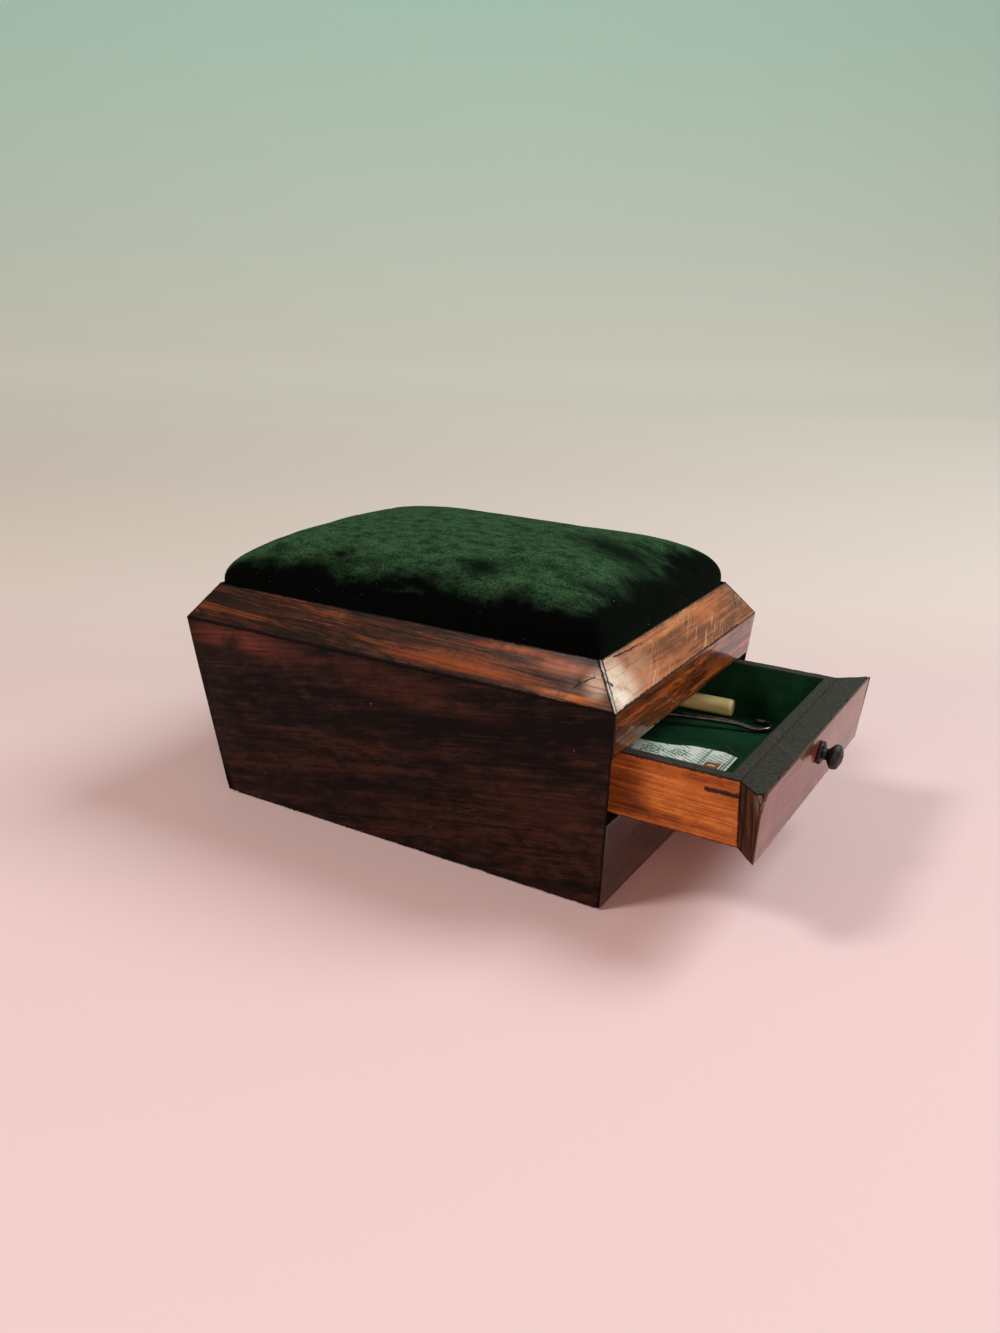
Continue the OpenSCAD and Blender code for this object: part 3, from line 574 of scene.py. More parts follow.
@dataclass(frozen=True)
class VelvetFinish:
    """Dark green velvet, brushed along its length and full of lint; painted shade darkens its lower sides,
    the faces turned along lean and its dents, so the crown stays lighter, and painted light lifts its crests
    and pile tips.
    """

    name: str = "green_velvet"
    # Places of painted shade in the cushion's dents: centre and radii in millimetres, and strength.
    shaded_dents: tuple[tuple[Triple, Triple, float], ...] = (
        ((29.0, -40.0, 115.0), (16.0, 11.0, 14.0), 0.95), ((66.0, 6.0, 117.0), (42.0, 20.0, 16.0), 0.95),
        ((30.0, 34.0, 117.0), (12.0, 8.0, 12.0), 0.5), ((80.0, 30.0, 108.0), (16.0, 20.0, 16.0), 0.7),
    )
    # Places of painted light on the crests, which lift the painted shade: centre, radii and strength.
    lit_crests: tuple[tuple[Triple, Triple, float], ...] = (
        ((65.0, -26.0, 115.0), (26.0, 13.0, 14.0), 1.0), ((10.0, -38.0, 112.0), (14.0, 8.0, 12.0), 0.6),
        ((-80.0, -20.0, 108.0), (18.0, 40.0, 16.0), 0.6),
    )
    # Colour of the painted shade, and also of the pits in the nap.
    deep: Triple = (0.0003, 0.0008, 0.0006)
    pile: Triple = (0.008, 0.028, 0.012)
    rubbed: Triple = (0.042, 0.108, 0.046)
    # Colour of the painted highlight on the pile tips.
    lit_tips: Triple = (0.085, 0.20, 0.09)
    # Faces turned along lean get painted shade, and so do the sides below dark_below, a limit that dark_rise
    # raises towards +X; above lit_above there is none.
    lean: Triple = (0.72, -0.48, -0.14)
    sheen: Triple = (0.30, 0.75, 0.36)
    dark_below: float = 96.0
    lit_above: float = 101.5
    dark_rise: float = 11.0
    lint: tuple[tuple[float, float, float, float, Triple], ...] = (
        (3.4, 0.06, 0.06, 0.7, (0.42, 0.44, 0.38)), (1.3, 0.14, 0.05, 0.35, (0.14, 0.18, 0.13)),
    )

    def build(self) -> Material:
        """Builds the material and returns it."""
        material, g, shader = start_material(self.name)
        at = g.object_mm()
        brush = g.noise(at, (0.045, 0.10, 0.08), 4.0, 0.62)
        blotch = g.noise(at, (0.16, 0.24, 0.2), 4.0, 0.68)
        strokes = g.noise(at, (0.10, 0.9, 0.6), 3.0, 0.6)
        nap = g.noise(at, 1.25, 4.0, 0.78)
        # Painted shade over the pile.
        painted_shade = self._painted_shade(g, at, brush, blotch)
        colour = g.mix(g.step(blotch, 0.30, 0.62), self.pile, self.rubbed)
        colour = g.mix(g.step(strokes, 0.55, 0.25, 0.0, 0.35), colour, self.pile)
        colour = g.mix(painted_shade, colour, self.deep)
        colour = g.mix(g.step(nap, 0.60, 0.34, 0.0, 0.75), colour, self.deep)
        # Painted highlight on the pile tips where there is no painted shade.
        lit = g.times(g.step(nap, 0.56, 0.74), g.minus(0.8, painted_shade, clamp=True))
        colour = g.mix(lit, colour, self.lit_tips)
        for spacing, size, amount, strength, tint in self.lint:
            specks = g.mask("specks", at, Spacing=spacing, Size=size, Amount=amount)
            colour = g.mix(g.times(specks, strength), colour, tint)
        g.feed(shader, {
            "Base Color": colour, "Roughness": 0.95, "Specular IOR Level": 0.03, "Sheen Weight": 0.03,
            "Sheen Roughness": 0.4, "Sheen Tint": self.sheen,
        })
        g.bump(shader, g.plus(nap, g.times(strokes, 0.6)), 0.6, 0.5)
        return material

    def _painted_shade(self, g: Graph, at: Socket, brush: Socket, blotch: Socket) -> Socket:
        """Mask of painted shade on the pile: on faces turned along the lean, low on the sides and in the
        dents, less on the crests.
        """
        x, _, height = g.xyz(at)
        away = g.dot(g.add("TexCoord").outputs["Normal"], self.lean)
        away = g.plus(g.plus(away, g.swing(brush, 0.75)), g.swing(blotch, 0.35))
        rise = g.times(g.step_linear(x, -90.0, 30.0), self.dark_rise)
        sunk = g.plus(g.minus(height, rise), g.swing(brush, 12.0))
        painted_shade = g.most(g.step(away, 0.0, 0.34), g.step(sunk, self.lit_above, self.dark_below))
        for centre, radii, amount in self.shaded_dents:
            painted_shade = g.most(painted_shade, g.times(g.ellipse(at, centre, radii, 0.9), amount))
        for centre, radii, amount in self.lit_crests:
            painted_shade = g.times(painted_shade, g.minus(1.0, g.times(g.ellipse(at, centre, radii, 0.9), amount)))
        return painted_shade


# Meshes

SHARP_ANGLE = math.radians(18)
FLAT_ANGLE = math.radians(0.6)
WELD = 2e-6
LATHE_WELD = 1e-6
ON_PLANE = 1e-7
WORN_FROM = 0.6


def picked(items: Sequence, kind: type) -> list:
    """The items of one kind in an operator's result."""
    return [item for item in items if isinstance(item, kind)]


def border_edges(items: Sequence) -> list[BMEdge]:
    """The open edges in an operator's result."""
    return [edge for edge in picked(items, BMEdge) if edge.is_boundary]


def cut_at(bm: BMesh, place: Vector, normal: Vector, clear: bool = False) -> list:
    """Cuts a mesh at a plane and returns the cut's points and edges.

    Args:
        bm: The mesh, in metres.
        place: A point of the plane, in metres.
        normal: The plane's direction.
        clear: True to remove what lies beyond the plane.

    Returns:
        The points and edges on the plane.
    """
    return bmesh.ops.bisect_plane(
        bm, geom=bm.verts[:] + bm.edges[:] + bm.faces[:], dist=ON_PLANE, plane_co=place, plane_no=normal,
        clear_outer=clear,
    )["geom_cut"]


def on_line(points: Sequence[tuple[float, float]], place: float) -> float:
    """Height at a place of a line through points in rising order."""
    return next(
        a[1] + (b[1] - a[1]) * (place - a[0]) / (b[0] - a[0])
        for a, b in zip(points, points[1:]) if place <= b[0]
    )


def curve_point(a: Vector, b: Vector, c: Vector, d: Vector, t: float) -> Vector:
    """Point of a smooth curve through four points, a share of the way from the second to the third."""
    return 0.5 * (2 * b + (c - a) * t + (2 * a - 5 * b + 4 * c - d) * t * t + (3 * b - a - 3 * c + d) * t**3)


def smooth_route(points: Sequence[Vector], cuts: int) -> list[Vector]:
    """A route with each step cut into shorter ones along a smooth curve."""
    last = len(points) - 1
    route: list[Vector] = []
    for index in range(last):
        quad = [points[i] for i in (max(index - 1, 0), index, index + 1, min(index + 2, last))]
        route += [curve_point(*quad, cut / cuts) for cut in range(cuts)]
    return [*route, points[-1]]


def make_piece(
    name: str,
    bm: BMesh,
    body: str,
    material: Material,
    stands_for: Sequence[str],
    crease: float = 42.0,
) -> bpy.types.Object:
    """Turns a finished bmesh into a piece of the object.

    Args:
        name: The piece's name.
        bm: The mesh, in metres and in its final place. It is freed.
        body: The body that the piece rides on.
        material: Its finish.
        stands_for: The model's nodes that it replaces.
        crease: Angle in degrees past which an edge stays sharp.

    Returns:
        The new object.
    """
    mesh = bpy.data.meshes.new(name)
    bm.to_mesh(mesh)
    bm.free()
    mesh.shade_smooth()
    mesh.set_sharp_from_angle(angle=math.radians(crease))
    obj = bpy.data.objects.new(name, mesh)
    bpy.context.scene.collection.objects.link(obj)
    mesh.materials.append(material)
    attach(obj, body)
    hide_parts(*stands_for)
    LOG.info("%s: %d faces, rides on %s", name, len(mesh.polygons), body)
    return obj


def dress(material: Material, *nodes: str) -> None:
    """Gives the model's own nodes a finish."""
    for name in nodes:
        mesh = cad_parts[name].data
        mesh.materials.clear()
        mesh.materials.append(material)
        LOG.info("%s: %s", name, material.name)


def merged_copy(*nodes: str) -> BMesh:
    """A closed copy of the model's nodes, with flat faces made whole."""
    bm = bmesh.new()
    for name in nodes:
        bm.from_mesh(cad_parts[name].data)
    bmesh.ops.remove_doubles(bm, verts=bm.verts, dist=WELD)
    bmesh.ops.dissolve_limit(bm, angle_limit=FLAT_ANGLE, verts=bm.verts, edges=bm.edges)
    bmesh.ops.recalc_face_normals(bm, faces=bm.faces)
    return bm


@dataclass(frozen=True)
class Chip:
    """A bite out of an edge: its centre, reach and depth in millimetres."""

    centre: Triple
    reach: float
    depth: float


@dataclass(frozen=True)
class Break:
    """A corner broken off at a plane: a point of it and its outward direction, in millimetres."""

    point: Triple
    outward: Triple
    rough: float


BROKEN_CORNER: Triple = (150.3, -64.8, 62.2)
FACING_BREAK = Break((149.6, -63.9, 61.7), (0.42, -0.80, 0.43), 0.8)


@dataclass
class WornBoard:
    """A board or veneer of the model with rounded, nicked edges."""

    node: str
    body: str
    slot: str
    finish: Material
    suffix: str = "worn"
    radius: float = 0.3
    nick: float = 0.25
    pitch: float = 1.6
    axis: int = 0
    band: float = 1.3
    ragged: float = 0.0
    chips: tuple[Chip, ...] = ()
    breaks: tuple[Break, ...] = ()
    corner: float = 0.0
    corner_least: float = 0.25
    corner_spread: float = 9.0

    def build(self) -> bpy.types.Object:
        """Builds the board in place of its node and returns it."""
        bm = merged_copy(self.node)
        worn = bm.verts.layers.float.new("wear")
        for broken in self.breaks:
            self._break_corner(bm, broken)
        self._round_edges(bm, worn)
        self._inset_faces(bm, worn)
        self._slice(bm)
        self._nick_edges(bm, worn)
        if self.corner:
            self._round_corners(bm)
        name = f"{self.node}_{self.suffix}"
        return make_piece(name, bm, self.body, self.finish, (self.node,))

    def _break_corner(self, bm: BMesh, broken: Break) -> None:
        """Cuts a corner off and leaves the cut rough."""
        made = cut_at(bm, Vector(broken.point) * MM, Vector(broken.outward), clear=True)
        filled = bmesh.ops.contextual_create(bm, geom=picked(made, BMEdge))["faces"]
        fan = bmesh.ops.poke(bm, faces=filled)["faces"]
        spokes = list({edge for face in fan for edge in face.edges})
        bmesh.ops.subdivide_edges(bm, edges=spokes, cuts=4, use_grid_fill=True)
        bm.normal_update()
        way = Vector(broken.outward).normalized()
        for vert in bm.verts:
            if vert.link_faces and all(face.normal.dot(way) > 0.999 for face in vert.link_faces):
                vert.co -= way * broken.rough * MM * (0.5 + noise.noise(vert.co / MM * 1.4))

    def _round_corners(self, bm: BMesh) -> None:
        """Rounds the case's four upright corners in plan, most at the arris, where hands rub."""
        for vert in bm.verts:
            x, y, z = vert.co / MM
            near = math.exp(-(((z - ARRIS_Z) / self.corner_spread) ** 2))
            reach = self.corner * (self.corner_least + (1 - self.corner_least) * near)
            slope = (z - ARRIS_Z) / (RIM_Z - ARRIS_Z)
            wide_x = half_l(z) if z <= ARRIS_Z else ARRIS_L / 2 + (RIM_HALF_L - ARRIS_L / 2) * slope
            wide_y = half_w(z) if z <= ARRIS_Z else ARRIS_W / 2 + (RIM_HALF_W - ARRIS_W / 2) * slope
            over = Vector((abs(x) - (wide_x - reach), abs(y) - (wide_y - reach)))
            if over.x > 0 and over.y > 0 and over.length > reach:
                over *= reach / over.length
                vert.co.x = math.copysign(wide_x - reach + over.x, x) * MM
                vert.co.y = math.copysign(wide_y - reach + over.y, y) * MM

    def _round_edges(self, bm: BMesh, worn: bmesh.types.BMLayerItem) -> None:
        """Rounds every sharp edge and marks the rounding as worn."""
        paired = [edge for edge in bm.edges if len(edge.link_faces) == 2]
        sharp = [edge for edge in paired if edge.calc_face_angle(0.0) > SHARP_ANGLE]
        made = bmesh.ops.bevel(
            bm, geom=sharp, offset=self.radius * MM, offset_type="OFFSET", affect="EDGES", segments=2,
            profile=0.5, material=-1, clamp_overlap=True,
        )
        rounded = set(made["faces"])
        for face in bm.faces:
            face.tag = face not in rounded
        for vert in made["verts"]:
            vert[worn] = 1.0

    def _inset_faces(self, bm: BMesh, worn: bmesh.types.BMLayerItem) -> None:
        """Leaves a narrow ring inside each wide surface, so that wear ends near its edge."""
        left = {face for face in bm.faces if face.tag}
        while left:
            region, front = set(), [left.pop()]
            while front:
                face = front.pop()
                region.add(face)
                for edge in face.edges:
                    for other in edge.link_faces:
                        if other in left and edge.calc_face_angle(0.0) < SHARP_ANGLE:
                            left.discard(other)
                            front.append(other)
            rim = sum(
                edge.calc_length() for face in region for edge in face.edges
                if sum(other in region for other in edge.link_faces) == 1
            )
            if sum(face.calc_area() for face in region) / max(rim, 1e-9) > 0.9 * self.band * MM:
                faces = list(region)
                bmesh.ops.inset_region(
                    bm, faces=faces, thickness=self.band * MM, use_even_offset=False, use_boundary=True
                )
                for vert in {vert for face in faces for vert in face.verts}:
                    vert[worn] = 0.0

    def _slice(self, bm: BMesh) -> None:
        """Cuts the board across, which gives its edges points to nick."""
        normal = Vector((0.0, 0.0, 0.0))
        normal[self.axis] = 1.0
        places = [vert.co[self.axis] for vert in bm.verts]
        low, long = min(places), max(places) - min(places)
        count = int(long / (self.pitch * MM))
        for index in range(1, count):
            cut_at(bm, normal * (low + long * (index + 0.3 * math.sin(index * 2.7)) / count), normal)

    def _nick_edges(self, bm: BMesh, worn: bmesh.types.BMLayerItem) -> None:
        """Presses worn points inwards by noise and by the named chips."""
        bm.normal_update()
        moves = []
        for vert in bm.verts:
            if vert[worn] < WORN_FROM:
                continue
            at = vert.co / MM
            hollow = max(0.0, noise.noise(at * 0.31) - 0.05) * 1.3
            dent = max(0.0, noise.noise(at * 1.1 + Vector((7, 3, 1))) - 0.3) * 1.5
            depth = self.nick * (hollow + dent)
            for chip in self.chips:
                near = (at - Vector(chip.centre)).length / chip.reach
                if near < 1.0:
                    depth += chip.depth * (1 - near * near) * (0.7 + 0.6 * noise.noise(at * 1.7))
            shift = vert.normal * -depth
            if self.ragged:
                out = Vector((vert.normal.x, vert.normal.y, 0.0))
                tear = noise.noise(at * 0.8) + 0.6 * noise.noise(at * 2.3) + 0.25
                shift = out * self.ragged * max(-0.4, tear)
            moves.append((vert, shift * MM))
        for vert, shift in moves:
            vert.co += shift


@dataclass
class Turning:
    """A piece turned on a lathe from an outline of height and radius in millimetres."""

    outline: Sequence[tuple[float, float]]
    steps: int
    roughen: float = 0.0

    def build(self, place: Matrix) -> BMesh:
        """Spins the outline about its axis.

        Args:
            place: Matrix in metres that carries the axis, its own Z, to its place.

        Returns:
            The closed mesh.
        """
        bm = bmesh.new()
        verts = [bm.verts.new((radius * MM, 0.0, height * MM)) for height, radius in self.outline]
        edges = [bm.edges.new(pair) for pair in zip(verts, verts[1:])]
        bmesh.ops.spin(
            bm, geom=verts + edges, cent=(0, 0, 0), axis=(0, 0, 1), dvec=(0, 0, 0), angle=math.tau,
            steps=self.steps, use_merge=True,
        )
        bmesh.ops.remove_doubles(bm, verts=bm.verts, dist=LATHE_WELD)
        bmesh.ops.recalc_face_normals(bm, faces=bm.faces)
        bm.normal_update()
        if self.roughen:
            for vert in bm.verts:
                at = vert.co / MM
                rough = max(0.0, noise.noise(at * 0.5) + 0.7 * noise.noise(at * 1.6))
                vert.co -= vert.normal * self.roughen * MM * rough
        bmesh.ops.transform(bm, matrix=place, verts=bm.verts)
        return bm


# The case


@dataclass
class Case:
    """Foot, boards and veneers of the box."""

    body: str = "case"

    def build(self) -> None:
        """Builds and dresses the whole case."""
        self._veneers()
        self._ends()
        self._inside()

    def _veneers(self) -> None:
        """Long sides: near black with brown figure."""
        common = dict(
            light=srgb(60, 35, 26), mid=srgb(36, 21, 16), dark=srgb(14, 9, 7), roughness=0.5, specular=0.07,
            sway=2.5, mottle=0.9, lines=0.35, pores=0.85, bump=0.35, worn=srgb(10, 7, 6), wear=0.55,
            width=1.3, dust=0.01,
        )
        near = WoodFinish(
            "rosewood_near_side",
            offset=(31.0, 4.0, 57.0), tilt=0.18,
            patches=(
                Patch((-72.0, -68.0, 77.0), (40.0, 8.0, 8.0), srgb(104, 54, 40), 0.85),
                Patch((-10.0, -68.0, 77.0), (60.0, 8.0, 6.0), srgb(86, 50, 39), 0.4),
                Patch((-62.0, -64.0, 35.0), (44.0, 8.0, 5.0), srgb(12, 8, 7), 0.8),
                Patch((-4.0, -65.5, 46.5), (44.0, 8.0, 4.5), srgb(12, 8, 7), 0.85),
                Patch((58.0, -66.5, 57.5), (44.0, 8.0, 4.5), srgb(12, 8, 7), 0.75),
                Patch((10.0, -67.0, 70.0), (60.0, 8.0, 6.0), srgb(92, 52, 38), 0.4),
                Patch((66.0, -64.0, 40.0), (44.0, 8.0, 15.0), srgb(84, 48, 34), 0.3),
                Patch((-30.0, -61.0, 14.0), (60.0, 8.0, 9.0), srgb(20, 13, 11), 0.6),
                Patch((-4.7, -66.4, 62.8), (1.0, 3.0, 1.0), srgb(128, 38, 42), 1.0),
                Patch((84.0, -67.7, 74.8), (0.9, 3.0, 0.9), srgb(8, 5, 5), 1.0),
            ),
            cracks=(
                Crack((100.0, -68.5, 82.5), (92.5, -59.5, 0.0), 1.3),
                Crack((-100.0, -68.5, 82.5), (-92.5, -59.5, 0.0), 0.8),
            ),
            **common,
        ).build()
        far = WoodFinish("rosewood_far_side", offset=(-60.0, 11.0, 20.0), **common).build()
        chips = {
            "near": (
                Chip((-92.6, -59.5, 0.8), 5.0, 1.6), Chip((92.6, -59.6, 1.0), 2.6, 0.8),
                Chip((98.9, -67.2, 70.0), 1.8, 0.6), Chip((96.7, -64.4, 45.0), 1.6, 0.5),
                Chip((40.0, -59.6, 0.6), 3.0, 0.6),
            ),
            "far": (Chip((92.6, 59.5, 0.8), 3.4, 1.0), Chip((-30.0, 59.6, 0.6), 3.0, 0.6)),
        }
        for name, finish in (("near", near), ("far", far)):
            WornBoard(
                f"side_veneer_{name}", self.body, "rosewood_veneer", finish, radius=0.28, nick=0.3,
                corner=1.0, chips=chips[name],
            ).build()

    def _ends(self) -> None:
        """Ends: redder veneer that keeps its polish; the end below the drawer is a darker copy with painted
        shade.
        """
        common = dict(
            run=GrainRun.ALONG_Y, light=srgb(196, 106, 42), mid=srgb(134, 64, 24), dark=srgb(36, 16, 9),
            roughness=0.4, specular=0.2, coat=0.8, coat_roughness=0.08, sway=3.0, mottle=0.25, lines=0.8,
            pores=0.8, bump=0.15, width=0.45, worn=srgb(16, 9, 7), wear=0.5,
        )
        band = WoodFinish(
            "rosewood_drawer_end_band", offset=(9.0, 0.0, 33.0),
            cracks=(Crack((100.0, -68.5, 82.5), (98.3, -66.5, 64.0), 0.8),), **common,
        ).build()
        # A darker copy of the end veneer: painted shade under the pulled drawer.
        low = WoodFinish(
            "rosewood_drawer_end_foot",
            offset=(40.0, 0.0, 71.0),
            cracks=(
                Crack((95.6, -58.6, 34.2), (95.8, -50.6, 36.4), 0.45),
                Crack((95.8, -50.6, 36.4), (95.9, -50.0, 37.4), 0.45),
                Crack((95.9, -63.6, 37.4), (92.5, -59.5, 0.0), 0.8),
            ),
            **common | dict(light=srgb(82, 39, 26), mid=srgb(48, 22, 16), dark=srgb(20, 10, 8)),
        ).build()
        blind = WoodFinish(
            "rosewood_blind_end", offset=(-80.0, 0.0, 12.0),
            **common | dict(light=srgb(100, 54, 36), mid=srgb(62, 32, 22), dark=srgb(24, 13, 10), coat=0.5),
        ).build()
        for name, finish, chips in (
            ("upper", band, (Chip((98.4, -30.0, 64.9), 2.4, 0.4), Chip((100.0, 66.0, 82.0), 2.0, 0.4))),
            ("lower", low, (Chip((92.6, 20.0, 0.7), 3.0, 0.6), Chip((95.9, -40.0, 37.3), 2.0, 0.3))),
            ("blind", blind, (Chip((-92.6, -56.0, 0.8), 4.0, 1.0),)),
        ):
            WornBoard(
                f"end_veneer_{name}", self.body, "rosewood_veneer", finish, axis=1, radius=0.25, nick=0.25,
                chips=chips, corner=1.0,
            ).build()

    def _inside(self) -> None:
        """Boards under the veneer, the boards round the drawer's opening a darker copy of the pine for
        painted shade, and the ragged dark sheet under the foot.
        """
        pine = WoodFinish(
            "pine_boards", light=srgb(196, 158, 106), mid=srgb(168, 126, 78), dark=srgb(110, 74, 42),
            roughness=0.7, specular=0.25, lines=0.5, pores=0.2, bump=0.3, width=0.7, wear=0.2,
            worn=srgb(90, 66, 44),
        ).build()
        # A darker copy of the pine paints the shade inside the drawer's opening.
        shaded_pine = WoodFinish(
            "pine_painted_shade_opening", light=srgb(46, 30, 22), mid=srgb(30, 20, 15), dark=srgb(14, 9, 7),
            roughness=0.7, specular=0.2, lines=0.5, pores=0.4, bump=0.3, width=0.7, run=GrainRun.ALONG_Y,
        ).build()
        dress(
            pine, "base_board", "corner_blocks", "cushion_bearer_near", "cushion_bearer_far",
            "cushion_board",
        )
        dress(
            shaded_pine, "side_board_near", "side_board_far", "end_board_blind", "end_rail_upper",
            "end_rail_lower", "drawer_bed", "dust_board",
        )
        nails = PlainFinish("rusty_iron", srgb(52, 38, 30), srgb(88, 54, 36), metallic=0.5).build()
        dress(nails, "base_pins")
        sheet = PlainFinish(
            "dark_underlay", srgb(18, 15, 14), srgb(34, 28, 25), roughness=0.9, specular=0.1, specks=0.12,
        ).build()
        WornBoard(
            "base_lining", self.body, "underlay", sheet, suffix="ragged", radius=0.12, nick=0.0, pitch=0.9,
            band=3.0, ragged=1.3,
        ).build()


@dataclass
class Rim:
    """Bevelled frame round the cushion, with a light line let into each mitre."""

    body: str = "case"

    def build(self) -> None:
        """Builds and dresses the rim."""
        warm = dict(
            light=srgb(120, 64, 30), mid=srgb(66, 36, 19), dark=srgb(22, 12, 8), roughness=0.45,
            specular=0.1, coat=0.05, coat_roughness=0.2, sway=2.0, mottle=0.3, lines=0.8, pores=0.8,
            bump=0.25, width=0.45, worn=srgb(12, 8, 6), wear=0.6, scuff=srgb(140, 110, 90), scuffs=0.2,
            dust=0.0,
        )
        near = WoodFinish(
            "rim_rosewood_near", offset=(12.0, 3.0, 8.0), tilt=-0.03,
            patches=(
                Patch((-74.0, -63.0, 90.5), (34.0, 5.0, 2.0), srgb(34, 20, 14), 0.85),
                Patch((14.0, -63.0, 90.6), (60.0, 5.0, 1.5), srgb(36, 20, 14), 0.8),
                Patch((34.0, -66.6, 86.3), (56.0, 4.0, 2.4), srgb(168, 84, 36), 0.65),
                Patch((-20.0, -67.3, 84.6), (66.0, 3.0, 1.5), srgb(22, 12, 9), 0.85),
                Patch((56.0, -60.5, 94.6), (22.0, 3.0, 2.2), srgb(178, 96, 40), 0.7),
                Patch((76.0, -61.5, 92.5), (18.0, 5.0, 4.5), srgb(176, 112, 84), 0.75),
                # Painted reflection: the pale floor's glare near the corner.
                Patch((90.0, -63.5, 89.5), (7.0, 8.0, 8.0), srgb(204, 176, 154), 0.85),
                Patch((85.0, -65.6, 86.8), (8.0, 3.0, 1.8), srgb(104, 88, 74), 0.8),
                Patch((80.0, -67.3, 84.4), (22.0, 3.0, 1.6), srgb(206, 122, 66), 0.9),
            ),
            cracks=(
                Crack((81.9, -65.3, 87.1), (83.2, -64.5, 88.3), 0.5),
                Crack((83.0, -64.6, 88.2), (88.5, -62.3, 91.5), 0.42),
                Crack((-99.0, -68.3, 82.8), (70.0, -68.3, 82.8), 0.8),
            ),
            **warm,
        ).build()
        far = WoodFinish("rim_rosewood_far", offset=(-40.0, 7.0, 21.0), **warm).build()
        # The ends are lighter than the long sides: partly rubbed wear, partly painted reflection of the pale
        # floor on the bevel.
        rubbed = warm | dict(
            run=GrainRun.ALONG_Y, light=srgb(206, 138, 88), mid=srgb(174, 108, 66), dark=srgb(116, 70, 44),
            roughness=0.36, coat=0.35, coat_roughness=0.16, lines=0.35, pores=0.4, width=0.9, mottle=0.5,
            scuffs=0.55, scuff=srgb(216, 176, 138), scuff_turn=(-0.412, 0.0, -1.902),
        )
        end = WoodFinish(
            "rim_rosewood_drawer_end", offset=(21.0, 0.0, 40.0),
            patches=(
                Patch((96.0, -8.0, 88.0), (4.0, 14.0, 4.5), srgb(86, 56, 40), 0.8),
                Patch((95.8, 18.0, 88.0), (4.0, 12.0, 4.0), srgb(96, 58, 40), 0.7),
                Patch((93.0, 30.0, 92.0), (6.0, 24.0, 6.0), srgb(214, 128, 72), 0.7),
                Patch((92.0, 58.0, 91.0), (9.0, 9.0, 8.0), srgb(104, 84, 68), 0.8),
                # This patch and the two below paint the pale floor's glare near the corner: painted
                # reflection.
                Patch((94.0, -44.0, 90.0), (16.0, 21.0, 14.0), srgb(178, 134, 106), 0.8),
                Patch((95.5, -58.0, 88.0), (16.0, 16.0, 15.0), srgb(224, 210, 190), 1.0),
                Patch((99.0, -64.0, 84.0), (9.0, 11.0, 8.0), srgb(240, 238, 226), 1.0),
            ),
            cracks=(
                Crack((90.8, 62.7, 94.1), (95.7, 53.3, 87.9), 0.45),
                Crack((99.6, 38.7, 83.0), (99.9, 47.1, 82.7), 0.5),
                Crack((89.7, -51.0, 95.4), (90.4, -30.0, 94.6), 0.4),
                Crack((99.8, -62.0, 82.8), (99.8, 40.0, 82.8), 0.4),
                Crack((93.0, -63.0, 91.2), (94.6, -61.2, 89.4), 0.9),
            ),
            **rubbed,
        ).build()
        blind = WoodFinish("rim_rosewood_blind_end", offset=(-21.0, 0.0, -40.0), **rubbed).build()
        near_chips = (
            Chip((91.5, -61.0, 94.2), 1.6, 0.5), Chip((-95.0, -66.0, 86.0), 1.6, 0.4),
            Chip((-20.0, -58.8, 96.6), 2.0, 0.4),
        )
        end_chips = (
            Chip((91.5, -60.0, 94.2), 1.8, 0.6), Chip((97.0, 64.0, 86.0), 1.5, 0.5),
            Chip((99.7, -30.0, 82.7), 2.0, 0.4),
        )
        for name, finish, axis, chips in (
            ("near", near, 0, near_chips), ("far", far, 0, (Chip((30.0, 68.0, 82.6), 2.0, 0.4),)),
            ("blind", blind, 1, (Chip((-99.0, 10.0, 83.5), 2.0, 0.4),)), ("drawer_end", end, 1, end_chips),
        ):
            WornBoard(
                f"rim_veneer_{name}", self.body, "rim_rosewood", finish, axis=axis, radius=0.2, nick=0.2,
                pitch=1.3, band=1.0, chips=chips, corner=1.0,
            ).build()
        core = WoodFinish(
            "rim_core_pine", light=srgb(120, 84, 54), mid=srgb(84, 56, 36), dark=srgb(40, 26, 18),
            roughness=0.7, specular=0.2,
        ).build()
        dress(core, "rim_core_near", "rim_core_far", "rim_core_blind", "rim_core_drawer_end")
        light_line = MitreLineFinish().build()
        WornBoard(
            "rim_lines", self.body, "light_line", light_line, axis=2, radius=0.1, nick=0.2, pitch=0.8,
            band=2.0, corner=1.0,
        ).build()


